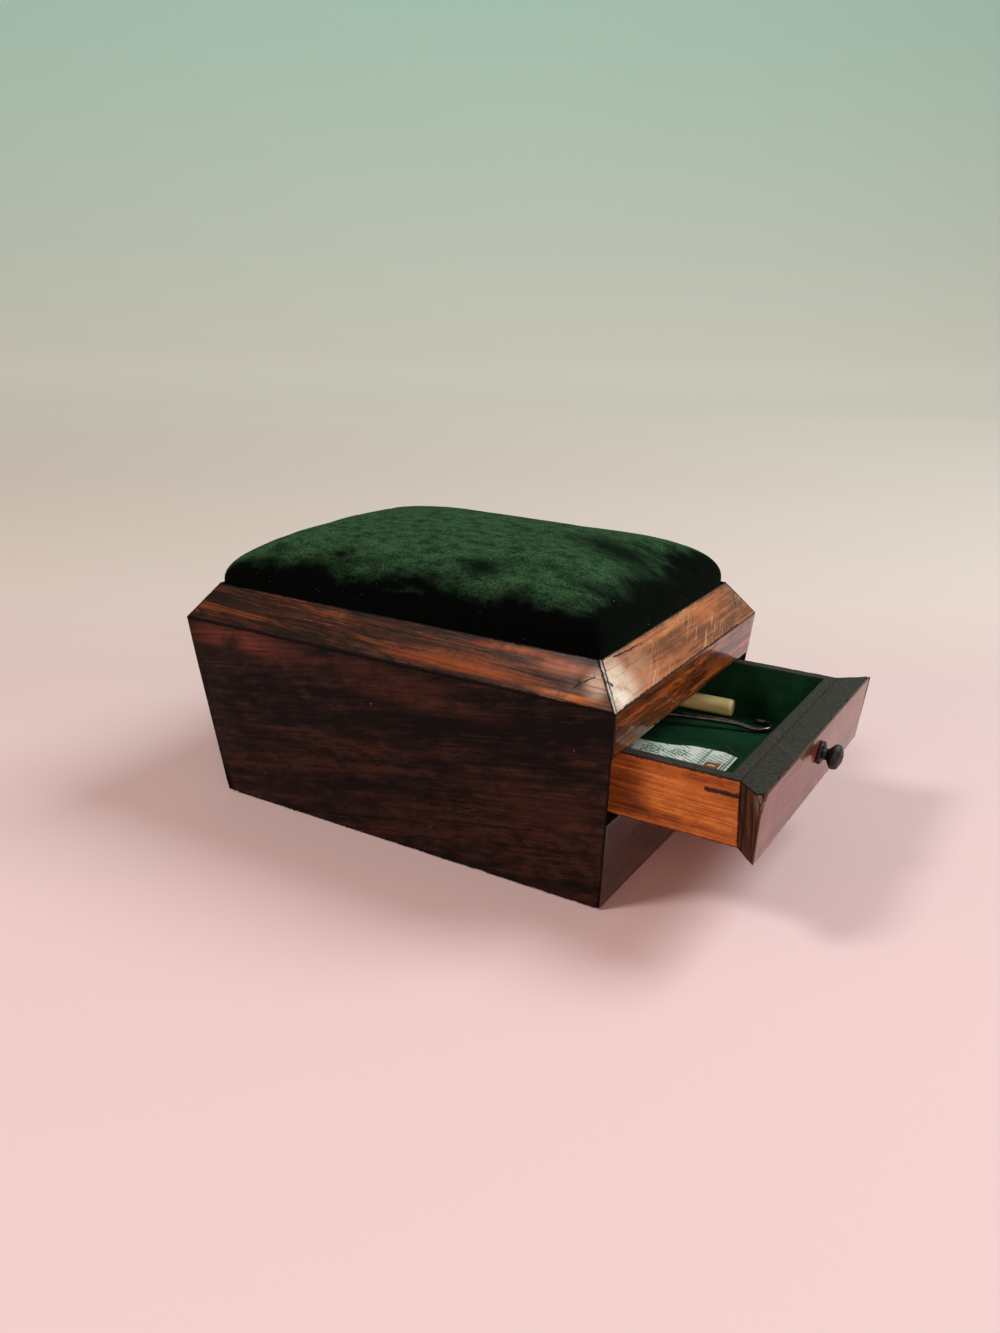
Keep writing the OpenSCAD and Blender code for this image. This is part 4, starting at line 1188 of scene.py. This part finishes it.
@dataclass
class Pincushion:
    """Stuffed velvet cushion that fills the rim."""

    body: str = "case"
    steps_l: int = 88
    steps_w: int = 60
    rise: float = 24.0
    half_length: float = 88.3
    half_width: float = 58.3
    foot_z: float = 86.0
    edge_sink: float = 0.4
    full_left: float = 3.3
    full_right: float = 4.4
    full_across: float = 2.8
    cap: float = 2.5
    frames: int = 20
    stuffing: tuple[tuple[float, ...], ...] = (
        (39.0, -36.0, 12.0, 8.0, -2.4), (56.0, -22.0, 20.0, 8.0, 1.8), (66.0, -44.0, 14.0, 7.0, -1.4),
        (52.0, 14.0, 26.0, 12.0, -1.5), (-62.0, 30.0, 20.0, 18.0, -1.2), (-20.0, 5.0, 40.0, 22.0, 0.5),
        (10.0, 34.0, 30.0, 12.0, -0.8),
    )

    def build(self) -> bpy.types.Object:
        """Builds the cushion, lets its cloth settle and returns it."""
        bm = self._crown()
        velvet = VelvetFinish().build()
        cushion = make_piece(
            "velvet_cushion", bm, self.body, velvet, ("velvet_cover", "cushion_stuffing"),
            crease=75.0,
        )
        self._settle(cushion)
        self._finish_surface(cushion)
        return cushion

    def _height(self, x: float, y: float) -> float:
        """Dents and swellings of the stuffing at a place, in millimetres."""
        total = sum(
            rise * math.exp(-(((x - cx) / rx) ** 2) - ((y - cy) / ry) ** 2)
            for cx, cy, rx, ry, rise in self.stuffing
        )
        broad = 0.5 * noise.noise(Vector((x * 0.045, y * 0.06, 2.0)))
        return total + broad + 0.18 * noise.noise(Vector((x * 0.16, y * 0.2, 5.0)))

    def _crown(self) -> BMesh:
        """Crowned grid with drawn-in corners, closed by a skirt and a foot under the rim's edge."""
        bm = bmesh.new()
        bmesh.ops.create_grid(bm, x_segments=self.steps_l, y_segments=self.steps_w, size=1.0)
        for vert in bm.verts:
            u = math.sin(vert.co.x * math.pi / 2)
            v = math.sin(vert.co.y * math.pi / 2)
            full = self.full_left if u < 0 else self.full_right
            e_u = max(0.0, 1 - abs(u) ** full) ** 0.56
            e_v = math.sqrt(max(0.0, 1 - abs(v) ** self.full_across))
            e = e_u * e_v * (2 / max(e_u**4 + e_v**4, 1e-6)) ** 0.25
            pull = 1 - 0.015 * abs(u * v) ** 10
            swell = 1 + 0.012 * 4 * e * (1 - e) * max(abs(u), abs(v)) ** 8
            x, y = self.half_length * u * pull * swell, self.half_width * v * pull * swell
            z = RIM_Z - self.edge_sink + self.rise * e + self._height(x, y) * min(1.0, e * 1.6)
            vert.co = Vector((x, y, z)) * MM
        border = [edge for edge in bm.edges if edge.is_boundary]
        for drop, inset in ((1.6, 0.0), (5.0, 0.25)):
            made = bmesh.ops.extrude_edge_only(bm, edges=border)["geom"]
            border = border_edges(made)
            for vert in {vert for edge in border for vert in edge.verts}:
                flat = Vector((vert.co.x, vert.co.y, 0.0)).normalized()
                vert.co -= flat * inset * MM
                vert.co.z -= drop * MM
        for vert in {vert for edge in border for vert in edge.verts}:
            vert.co.z = self.foot_z * MM
        bmesh.ops.grid_fill(bm, edges=border)
        bmesh.ops.recalc_face_normals(bm, faces=bm.faces)
        return bm

    def _settle(self, cushion: bpy.types.Object) -> None:
        """Runs the velvet as cloth under the stuffing's pressure and keeps the result."""
        mesh = cushion.data
        start = [vert.co.copy() for vert in mesh.vertices]
        pins = cushion.vertex_groups.new(name="held")
        pins.add([v.index for v in mesh.vertices if v.co.z < (RIM_Z + 1.0) * MM], 1.0, "REPLACE")
        cloth = cushion.modifiers.new("settle", "CLOTH")
        settings = cloth.settings
        for name, value in dict(
            vertex_group_mass="held", quality=5, mass=0.25, tension_stiffness=12.0,
            compression_stiffness=12.0, shear_stiffness=4.0, bending_stiffness=0.6, use_pressure=True,
            uniform_pressure_force=1.5,
        ).items():
            setattr(settings, name, value)
        settings.effector_weights.gravity = 0.0
        cloth.collision_settings.use_collision = False
        cloth.collision_settings.use_self_collision = False
        cloth.point_cache.frame_start, cloth.point_cache.frame_end = 1, self.frames
        for number in range(1, self.frames + 1):
            bpy.context.scene.frame_set(number)
        seen = cushion.evaluated_get(bpy.context.evaluated_depsgraph_get())
        settled = [vert.co.copy() for vert in seen.data.vertices]
        cushion.modifiers.remove(cloth)
        bpy.context.scene.frame_set(1)
        farthest = 0.0
        for vert, before, after in zip(mesh.vertices, start, settled):
            shift = after - before
            far = shift.length / MM
            if far > self.cap:
                shift *= self.cap / far
            vert.co = before + shift
            farthest = max(farthest, min(far, self.cap))
        mesh.update()
        LOG.info("velvet_cushion: cloth settled by up to %.1f mm", farthest)

    def _finish_surface(self, cushion: bpy.types.Object) -> None:
        """Smooths the crown with one subdivision."""
        smooth = cushion.modifiers.new("smooth", "SUBSURF")
        smooth.levels = smooth.render_levels = 1


# The drawer


@dataclass
class Drawer:
    """Drawer with its thick facing, dark strips, green paper and turned knob."""

    body: str = "drawer"

    def build(self) -> None:
        """Builds and dresses the drawer."""
        self._box()
        self._facing()
        self._strips()
        self._paper()
        self._knob()

    def _box(self) -> None:
        """Sides, back and bottom of orange mahogany."""
        common = dict(
            light=srgb(206, 124, 60), mid=srgb(172, 92, 38), dark=srgb(120, 61, 26), roughness=0.5,
            specular=0.1, coat=0.03, sway=3.0, mottle=0.5, lines=0.06, pores=0.2, bump=0.2, width=1.6,
            worn=srgb(52, 28, 15), wear=0.45, dust=0.04,
        )
        near = WoodFinish(
            "mahogany_near_side", offset=(5.0, 0.0, 14.0),
            patches=(
                # These two patches paint the shade where the drawer comes out of the case.
                Patch((98.0, -58.0, 50.0), (14.0, 9.0, 20.0), srgb(84, 38, 14), 0.85),
                Patch((104.0, -58.0, 43.0), (14.0, 8.0, 4.0), srgb(70, 32, 13), 0.8),
                Patch((118.0, -58.0, 38.0), (24.0, 8.0, 2.4), srgb(76, 34, 14), 0.7),
                Patch((124.9, -59.5, 46.4), (1.0, 3.0, 0.6), srgb(70, 32, 14), 0.9),
                Patch((122.0, -60.0, 56.0), (18.0, 8.0, 7.0), srgb(206, 116, 54), 0.4),
            ),
            **common,
        ).build()
        plain = WoodFinish("mahogany_drawer", offset=(-35.0, 9.0, 40.0), **common).build()
        for name, finish in (("near", near), ("far", plain)):
            WornBoard(
                f"drawer_side_{name}", self.body, "mahogany", finish, radius=0.18, nick=0.3,
                chips=(Chip((118.3, -61.0 if name == "near" else 61.0, 63.7), 1.8, 0.5),),
            ).build()
        dress(plain, "drawer_inner_front", "drawer_back", "drawer_bottom")

    def _facing(self) -> None:
        """Thick facing with dark worn ends and a polished veneer on its front."""
        core = WoodFinish(
            "facing_mahogany", run=GrainRun.UPRIGHT, light=srgb(112, 66, 38), mid=srgb(80, 46, 28),
            dark=srgb(32, 19, 13), offset=(0.0, 12.0, 3.0), roughness=0.55, specular=0.15, lines=0.7,
            pores=0.5, bump=0.45, width=0.35, worn=srgb(20, 13, 10), wear=0.7, dust=0.1,
            patches=(
                Patch(BROKEN_CORNER, (6.5, 5.5, 8.0), srgb(118, 104, 94), 1.0),
                Patch((141.5, 0.0, 64.0), (3.0, 90.0, 1.6), srgb(28, 23, 19), 1.0),
            ),
        ).build()
        WornBoard(
            "drawer_facing", self.body, "mahogany", core, axis=1, radius=0.3, nick=0.4, band=1.0,
            chips=(
                Chip((144.0, -61.8, 63.7), 2.0, 0.5), Chip((148.0, -63.4, 38.2), 2.4, 0.7),
                Chip((148.6, 65.0, 63.3), 3.0, 0.8),
            ),
            breaks=(FACING_BREAK,),
        ).build()
        veneer = WoodFinish(
            "facing_veneer_polished", run=GrainRun.ALONG_Y, light=srgb(140, 70, 46), mid=srgb(124, 59, 39),
            dark=srgb(94, 41, 28), offset=(64.0, 0.0, 7.0), roughness=0.45, specular=0.15, coat=0.7,
            coat_roughness=0.1, lines=0.12, pores=0.1, bump=0.02, mottle=0.2, width=1.2, sway=4.0,
            worn=srgb(60, 34, 27), wear=0.5,
            patches=(
                # Painted reflection: the dark spot where the knob hides the floor's reflection in the
                # polish.
                Patch((150.9, -13.5, 62.6), (4.0, 15.0, 3.6), srgb(44, 20, 14), 0.95),
                Patch(BROKEN_CORNER, (4.0, 3.5, 5.0), srgb(112, 98, 88), 0.9),
            ),
        ).build()
        WornBoard(
            "facing_veneer", self.body, "rosewood_veneer", veneer, axis=1, radius=0.2, nick=0.3, band=1.0,
            chips=(
                Chip((151.2, -40.0, 64.0), 1.6, 0.4), Chip((148.6, -63.4, 38.0), 2.0, 0.5),
                Chip((151.2, 65.0, 63.8), 2.6, 0.7),
            ),
            breaks=(FACING_BREAK,),
        ).build()
        slips = PlainFinish("ebony_slips", srgb(14, 10, 9), srgb(26, 18, 15), roughness=0.5).build()
        dress(slips, "facing_slips")

    def _strips(self) -> None:
        """Dark painted paper strips on the drawer's top edges."""
        strip = PlainFinish(
            "dark_strip", srgb(28, 29, 24), srgb(56, 55, 45), mottle=0.7, roughness=0.72, specular=0.25,
            bump=0.8, worn=srgb(18, 16, 13), wear=0.5, specks=0.22, speck_colour=srgb(104, 102, 88),
            scratched=0.3,
        ).build()
        side_chips = (Chip((118.3, -57.1, 64.0), 2.6, 0.4), Chip((106.0, -57.1, 64.0), 1.6, 0.3))
        for name, axis, chips, breaks in (
            ("drawer_binding", 0, side_chips, ()),
            ("facing_binding", 1, (Chip((150.0, 20.0, 64.0), 1.4, 0.2),), (FACING_BREAK,)),
        ):
            WornBoard(
                name, self.body, "dark_strip", strip, axis=axis, radius=0.07, nick=0.35, pitch=1.0,
                band=0.8, chips=chips, breaks=breaks,
            ).build()

    def _paper(self) -> None:
        """Dark green lining paper."""
        paper = PlainFinish(
            "green_paper", srgb(10, 44, 26), srgb(18, 62, 38), mottle=0.08, roughness=0.62, specular=0.08,
            bump=0.35, specks=0.05, speck_colour=srgb(96, 110, 80), wear=0.2, scratched=0.3,
        ).build()
        dress(paper, "lining_floor", "lining_walls")

    def _knob(self) -> None:
        """Turned black knob with a worn mushroom head."""
        black = PlainFinish(
            "ebony_knob", srgb(5, 4, 4), srgb(16, 11, 10), mottle=0.8, roughness=0.42, specular=0.35,
            coat=0.1, bump=1.0, wear=0.1, specks=0.05, speck_colour=srgb(90, 70, 60),
        ).build()
        head = (
            (-0.2, 3.6), (0.3, 4.35), (0.9, 4.4), (1.5, 4.1), (1.8, 2.9), (2.5, 2.25), (3.3, 2.35),
            (4.2, 3.6), (5.2, 4.65), (6.2, 4.8), (7.1, 4.55), (7.9, 3.6), (8.4, 2.0),
        )
        turned = smooth_route([Vector(point) for point in head], 3)
        outline = [(-7.0, 0.0), (-7.0, 1.8), (-0.2, 1.8), *turned, (8.7, 0.9), (8.75, 0.0)]
        lean = math.radians(90.0) + math.atan((ARRIS_L - FOOT_L) / 2 / ARRIS_Z)
        stem = Vector((half_l(KNOB_Z) + PULLED, 0.0, KNOB_Z))
        place = Matrix.Translation(stem * MM) @ Matrix.Rotation(lean, 4, "Y")
        bm = Turning(outline, 40, roughen=0.8).build(place)
        make_piece("drawer_knob_turned", bm, self.body, black, ("drawer_knob",), crease=50.0)


def on_floor(share_x: float, share_y: float, height: float) -> Vector:
    """Place over the drawer's floor in the pulled-out drawer, in millimetres."""
    return Vector((share_x * ROOM_FRONT + PULLED, share_y * ROOM_HALF_W, LINED_FLOOR + height))


@dataclass
class DrawerTools:
    """Bone-handled tool, button hook and printed ticket that lie in the drawer."""

    body: str = "drawer"
    bone_place: tuple[float, float] = (0.578, 0.92)
    bone_d: float = 7.5
    bone_length: float = 66.0
    bone_turn: float = 2.5
    shank_behind: float = 104.0
    grip_place: tuple[float, float] = (0.223, 0.465)
    grip_d: float = 7.8
    grip_length: float = 46.0
    grip_turn: float = 16.5
    ticket_x: tuple[float, float] = (56.6, 118.4)
    ticket_y: float = -27.6
    ticket_gap: float = 0.06
    ticket_thickness: float = 0.14

    def build(self) -> None:
        """Builds all three."""
        bone = PlainFinish(
            "old_bone", srgb(244, 238, 176), srgb(226, 214, 138), mottle=0.35, stretch=(0.12, 1.0, 1.0),
            roughness=0.32, specular=0.5, coat=0.2, subsurface=0.15, bump=0.1, specks=0.03,
            speck_colour=srgb(120, 96, 52),
        ).build()
        steel = PlainFinish(
            "dull_steel", srgb(84, 84, 86), srgb(124, 122, 120), mottle=0.3, roughness=0.28, metallic=0.95,
            bump=0.03, specks=0.04, speck_colour=srgb(60, 40, 30),
        ).build()
        self._handle(
            "bone_handle", self.bone_place, self.bone_turn, self.bone_d, self.bone_length, bone,
            thick_end_first=True,
        )
        self._handle(
            "hook_grip", self.grip_place, self.grip_turn, self.grip_d, self.grip_length, bone,
            thick_end_first=False,
        )
        self._shank(steel)
        self._hook(steel)
        self._ticket()

    def _handle(
        self, node: str, share: tuple[float, float], turn: float, d: float, length: float, bone: Material,
        thick_end_first: bool,
    ) -> None:
        """Turned handle lying along -X from the given end.

        Args:
            node: The model's node.
            share: Place of its front end on the drawer's floor.
            turn: Turn from +X in degrees.
            d: Greatest diameter in millimetres.
            length: Length in millimetres.
            bone: Its finish.
            thick_end_first: True if its thick end is the front one.
        """
        r = d / 2
        outline = [
            (0.0, 0.0), (0.0, r * 0.84), (0.15, r * 0.91), (0.5, r * 0.965), (1.2, r * 0.99), (3.2, r),
            (length * 0.3, r * 0.985), (length * 0.5, r * 0.955), (length * 0.7, r * 0.91),
            (length * 0.9, r * 0.78), (length - 2.2, r * 0.72), (length - 0.9, r * 0.70),
            (length - 0.3, r * 0.64), (length, r * 0.56), (length, 0.0),
        ]
        if not thick_end_first:
            outline = [(length - height, radius) for height, radius in reversed(outline)]
        end = on_floor(*share, r)
        laid = Matrix.Rotation(math.radians(turn), 4, "Z") @ Matrix.Rotation(math.radians(-90), 4, "Y")
        bm = Turning(outline, 56, roughen=0.05).build(Matrix.Translation(end * MM) @ laid)
        make_piece(f"{node}_turned", bm, self.body, bone, (node,), crease=38.0)

    def _shank(self, steel: Material) -> None:
        """Tapered steel shank behind the bone handle."""
        outline = [(0.0, 0.0), (0.0, 0.42), (11.4, 1.2), (34.0, 1.2), (36.0, 1.5), (38.0, 1.5), (38.0, 0.0)]
        turned = Matrix.Rotation(math.radians(self.bone_turn), 4, "Z")
        start = on_floor(*self.bone_place, self.bone_d / 2) + turned @ Vector((-self.shank_behind, 0.0, 0.0))
        place = Matrix.Translation(start * MM) @ turned @ Matrix.Rotation(math.radians(90), 4, "Y")
        bm = Turning(outline, 24).build(place)
        make_piece("bone_handle_shank_turned", bm, self.body, steel, ("bone_handle_shank",))

    def _hook(self, steel: Material) -> None:
        """Button hook: a round rod swept along its bent route, a little thicker towards its tip."""
        shares = (
            (*self.grip_place, self.grip_d / 2), (0.598, 0.644, 3.094), (0.731, 0.692, 1.404),
            (0.777, 0.718, 1.352), (0.802, 0.770, 1.274), (0.796, 0.850, 1.235), (0.761, 0.890, 1.196),
            (0.718, 0.888, 1.17),
        )
        route = smooth_route([on_floor(*share) for share in shares], 8)
        last = len(route) - 1
        thickness = (
            (0.0, 1.3), (0.13, 1.3), (0.20, 1.02), (0.34, 0.88), (0.6, 1.02), (0.8, 1.12), (0.9, 1.08),
            (1.0, 1.1),
        )
        bm = bmesh.new()
        ring = bmesh.ops.create_circle(bm, cap_ends=False, segments=14, radius=1.0)["verts"]
        edges = bm.edges[:]
        bmesh.ops.contextual_create(bm, geom=edges)
        shape = [vert.co.copy() for vert in ring]
        for index, at in enumerate(route):
            radius = on_line(thickness, index / last)
            ahead = (route[min(index + 1, last)] - route[max(index - 1, 0)]).normalized()
            across = Vector((0, 0, 1)).cross(ahead).normalized()
            above = ahead.cross(across)
            if index:
                made = bmesh.ops.extrude_edge_only(bm, edges=edges)["geom"]
                ring = picked(made, BMVert)
                edges = border_edges(made)
            for vert, flat in zip(ring, shape):
                vert.co = (at + (across * flat.x + above * flat.y) * radius) * MM
        bmesh.ops.contextual_create(bm, geom=edges)
        bmesh.ops.recalc_face_normals(bm, faces=bm.faces)
        make_piece("hook_shank_bent", bm, self.body, steel, ("hook_shank",), crease=50.0)

    def _ticket(self) -> None:
        """Thin printed ticket with one worn, curved edge and slightly lifted corners."""
        far_edge = (
            (56.0, 3.0), (77.3, 2.9), (84.5, 3.2), (91.9, 4.6), (98.5, 7.8), (105.8, 8.6), (112.4, 8.1),
            (118.3, 4.7), (119.0, 4.0),
        )
        low_x, high_x = self.ticket_x
        bm = bmesh.new()
        bmesh.ops.create_grid(bm, x_segments=62, y_segments=30, size=1.0)
        for vert in bm.verts:
            x = low_x + (vert.co.x + 1) / 2 * (high_x - low_x)
            y = self.ticket_y + (vert.co.y + 1) / 2 * (on_line(far_edge, x) - self.ticket_y)
            lift = 0.9 * max(0.0, (x - 104.0) / 14.0) ** 2 * max(0.0, (y + 20.0) / 26.0)
            lift += 0.25 * (0.5 + 0.5 * math.sin(x * 0.16 + y * 0.1)) * max(0.0, 1 - abs(y + 10.0) / 20.0)
            vert.co = Vector((x, y, LINED_FLOOR + self.ticket_gap + lift)) * MM
        bmesh.ops.solidify(bm, geom=bm.faces[:], thickness=self.ticket_thickness * MM)
        bmesh.ops.recalc_face_normals(bm, faces=bm.faces)
        paper = ticket_print()
        make_piece("paper_ticket_printed", bm, self.body, paper, ("paper_ticket",), crease=50.0)


def ticket_print() -> Material:
    """Pale paper with a generic engraved green ornament and a brown end panel."""
    material, g, shader = start_material("printed_ticket")
    at = g.object_mm()
    x, y, _ = g.xyz(at)

    def band(value: object, centre: float, half: float) -> Socket:
        """Mask of a straight band."""
        return g.step(g.math("ABSOLUTE", g.minus(value, centre)), half + 0.12, half)

    def rosette(cx: float, cy: float, reach: float, petals: float) -> Socket:
        """Mask of an engraved rosette."""
        dx, dy = g.minus(x, cx), g.minus(y, cy)
        far = g.math("SQRT", g.plus(g.times(dx, dx), g.times(dy, dy)))
        turn = g.math("ARCTAN2", dy, dx)
        wave = g.math("SINE", g.times(turn, petals))
        rings = g.math("SINE", g.plus(g.times(far, 2.9), g.times(wave, 1.4)))
        return g.times(g.step(rings, 0.1, 0.6), g.step(far, reach, reach - 0.4))

    ink = rosette(96.5, -1.0, 4.6, 9.0)
    for flower in (
        (86.0, -3.5, 5.0, 7.0), (73.0, -6.0, 5.5, 11.0), (98.5, -14.0, 6.5, 12.0), (84.0, -17.0, 6.0, 8.0),
    ):
        ink = g.most(ink, rosette(*flower))
    for centre, half in ((-25.8, 0.35), (-24.6, 0.12)):
        ink = g.most(ink, band(y, centre, half))
    for centre, half in ((106.4, 0.14), (107.0, 0.14), (117.1, 0.3), (116.2, 0.12)):
        ink = g.most(ink, band(x, centre, half))
    slant = g.plus(g.times(x, 0.55), y)
    ruled = g.step(g.math("SINE", g.times(slant, 3.0)), 0.25, 0.6)
    lines = g.times(ruled, g.step(g.noise(at, 0.22), 0.42, 0.5))
    ink = g.most(ink, g.times(lines, 0.75))
    paper = g.mix(g.step(g.noise(at, 0.15, 3.0), 0.3, 0.7), srgb(218, 230, 216), srgb(238, 240, 230))
    colour = g.mix(g.times(ink, 0.9), paper, srgb(24, 104, 56))
    panel_x, panel_y = 111.8, -8.5
    for half_x, half_y, tint in (
        (4.1, 6.7, srgb(60, 124, 84)), (3.6, 6.2, srgb(226, 226, 208)), (3.0, 5.6, srgb(140, 92, 52)),
    ):
        panel = g.times(band(x, panel_x, half_x), band(y, panel_y, half_y))
        colour = g.mix(panel, colour, tint)
    marks = g.times(g.step(g.math("SINE", g.times(y, 1.9)), 0.45, 0.75), band(x, panel_x, 1.4))
    colour = g.mix(g.times(panel, marks), colour, srgb(214, 206, 176))
    g.feed(shader, {"Base Color": colour, "Roughness": 0.75, "Specular IOR Level": 0.25})
    g.bump(shader, g.noise(at, 2.0, 3.0), 0.2, 0.1)
    return material


# The studio


@dataclass
class Studio:
    """Floor with a curved backdrop, soft lamps and the camera."""

    yaw: float = 31.40
    pitch: float = 19.96
    roll: float = 0.47
    eye: Triple = (243.9, -378.5, 222.4)
    lens: float = 29.92
    lamp_distance: float = 1.7
    lamp_aim: Triple = (0.0, 0.0, 0.05)
    sky: Triple = (1.0, 0.60, 0.48)
    sky_strength: float = 0.28
    glow: float = 0.58
    half_width: float = 4.5
    front: float = -2.2
    bend_from: float = 1.4
    bend_radius: float = 1.2
    bend: float = 84.0

    def build(self) -> None:
        """Builds the whole studio."""
        self._sweep()
        self._lamps()
        self._camera()

    def _sweep(self) -> None:
        """Seamless pale floor that curves up behind the object."""
        bm = bmesh.new()
        strip = [bm.edges.new([bm.verts.new((side * self.half_width, self.front, 0.0)) for side in (-1, 1)])]
        made = bmesh.ops.extrude_edge_only(bm, edges=strip)["geom"]
        bmesh.ops.translate(bm, vec=(0, self.bend_from - self.front, 0), verts=picked(made, BMVert))
        strip = [edge for edge in border_edges(made) if abs(edge.verts[0].co.y - edge.verts[1].co.y) < WELD]
        made = bmesh.ops.spin(
            bm, geom=strip, cent=(0, self.bend_from, self.bend_radius), axis=(1, 0, 0), dvec=(0, 0, 0),
            angle=math.radians(self.bend), steps=24, use_merge=False,
        )["geom_last"]
        made = bmesh.ops.extrude_edge_only(bm, edges=picked(made, BMEdge))["geom"]
        bmesh.ops.translate(bm, vec=(0, 0.2, 2.5), verts=picked(made, BMVert))
        bmesh.ops.recalc_face_normals(bm, faces=bm.faces)
        turn = Matrix.Rotation(math.radians(self.yaw), 3, "Z")
        bmesh.ops.rotate(bm, cent=(0, 0, 0), matrix=turn, verts=bm.verts)
        mesh = bpy.data.meshes.new("studio_sweep")
        bm.to_mesh(mesh)
        bm.free()
        mesh.shade_smooth()
        sweep = bpy.data.objects.new("studio_sweep", mesh)
        bpy.context.scene.collection.objects.link(sweep)
        mesh.materials.append(self._sweep_paint())

    def _sweep_paint(self) -> Material:
        """Pink in front, beige further back and grey green at the top."""
        material, g, shader = start_material("studio_sweep")
        turn = math.radians(self.yaw)
        depth = g.dot(g.add("TexCoord").outputs["Object"], (-math.sin(turn), math.cos(turn), 0.75))
        stops = (
            (-0.5, srgb(237, 211, 214)), (-0.1, srgb(233, 206, 206)), (0.1, srgb(225, 204, 202)),
            (0.3, srgb(222, 209, 201)), (0.5, srgb(213, 205, 194)), (0.76, srgb(207, 201, 191)),
            (1.26, srgb(202, 202, 190)), (1.6, srgb(193, 196, 185)), (1.83, srgb(188, 191, 180)),
            (2.5, srgb(175, 192, 179)), (3.1, srgb(160, 192, 178)),
        )
        near, far = stops[0][0], stops[-1][0]
        ramp = g.add("ValToRGB", {0: g.step_linear(depth, near, far)})
        elements = ramp.color_ramp.elements
        while len(elements) < len(stops):
            elements.new(0.5)
        for element, (place_at, colour) in zip(elements, stops):
            element.position = (place_at - near) / (far - near)
            element.color = (*colour, 1.0)
        g.feed(shader, {"Base Color": ramp.outputs[0], "Roughness": 0.85, "Specular IOR Level": 0.1})
        rays = g.add("LightPath").outputs
        seen = g.most(rays["Is Camera Ray"], g.most(rays["Is Glossy Ray"], rays["Is Transmission Ray"]))
        lift = g.times(seen, g.step_linear(depth, 0.15, 1.7), clamp=True)
        glow = g.add("Emission", {"Color": ramp.outputs[0], "Strength": g.times(lift, self.glow)})
        both = g.add("AddShader", {0: shader.outputs[0], 1: glow.outputs[0]})
        g.feed(g.tree.nodes["Material Output"], {"Surface": both.outputs[0]})
        return material

    def _lamp(self, name: str, towards: Triple, size: float, energy: float, colour: Triple) -> None:
        """Adds one soft round lamp that faces the box from the studio's lamp distance."""
        lamp = bpy.data.lights.new(name, "AREA")
        lamp.shape, lamp.size, lamp.energy, lamp.color = "DISK", size, energy, colour
        obj = bpy.data.objects.new(name, lamp)
        way = Vector(towards).normalized()
        obj.location = way * self.lamp_distance + Vector(self.lamp_aim)
        obj.rotation_euler = way.to_track_quat("Z", "Y").to_euler()
        bpy.context.scene.collection.objects.link(obj)

    def _lamps(self) -> None:
        """Large lamp behind on the right, a smaller one in front, a weak fill and an even sky."""
        self._lamp("lamp_behind", (0.53, 0.42, 0.74), 0.9, 19.8, (0.89, 1.02, 1.06))
        self._lamp("lamp_front", (-0.33, -0.61, 0.79), 0.4, 11.6, (0.98, 0.98, 0.95))
        self._lamp("lamp_fill", (0.60, -0.72, 0.30), 1.2, 9.0, (1.0, 0.70, 0.60))
        world = bpy.data.worlds.new("studio_sky")
        world.use_nodes = True
        sky = world.node_tree.nodes["Background"]
        sky.inputs[0].default_value = (*self.sky, 1.0)
        sky.inputs[1].default_value = self.sky_strength
        bpy.context.scene.world = world

    def _camera(self) -> None:
        """Camera at the photograph's place and angle."""
        y, p, r = (math.radians(value) for value in (self.yaw, self.pitch, self.roll))
        back = Vector((math.sin(y) * math.cos(p), -math.cos(y) * math.cos(p), math.sin(p)))
        right = (-back).cross(Vector((0, 0, 1))).normalized()
        up = right.cross(-back)
        right, up = right * math.cos(r) + up * math.sin(r), up * math.cos(r) - right * math.sin(r)
        camera = bpy.data.cameras.new("camera")
        camera.lens, camera.sensor_width, camera.sensor_fit = self.lens, 36.0, "AUTO"
        camera.clip_start, camera.clip_end = 0.01, 20.0
        obj = bpy.data.objects.new("camera", camera)
        turn = Matrix((right, up, back)).transposed().to_4x4()
        obj.matrix_world = Matrix.Translation(Vector(self.eye) * MM) @ turn
        bpy.context.scene.collection.objects.link(obj)
        bpy.context.scene.camera = obj


def main() -> None:
    """Builds the box, its cushion, drawer and contents, and the studio."""
    logging.basicConfig(level=logging.INFO, format="%(name)s: %(message)s")
    bpy.context.scene.view_settings.view_transform = "Standard"
    Studio().build()
    Case().build()
    Rim().build()
    Pincushion().build()
    Drawer().build()
    DrawerTools().build()


if __name__ == "__main__":
    main()
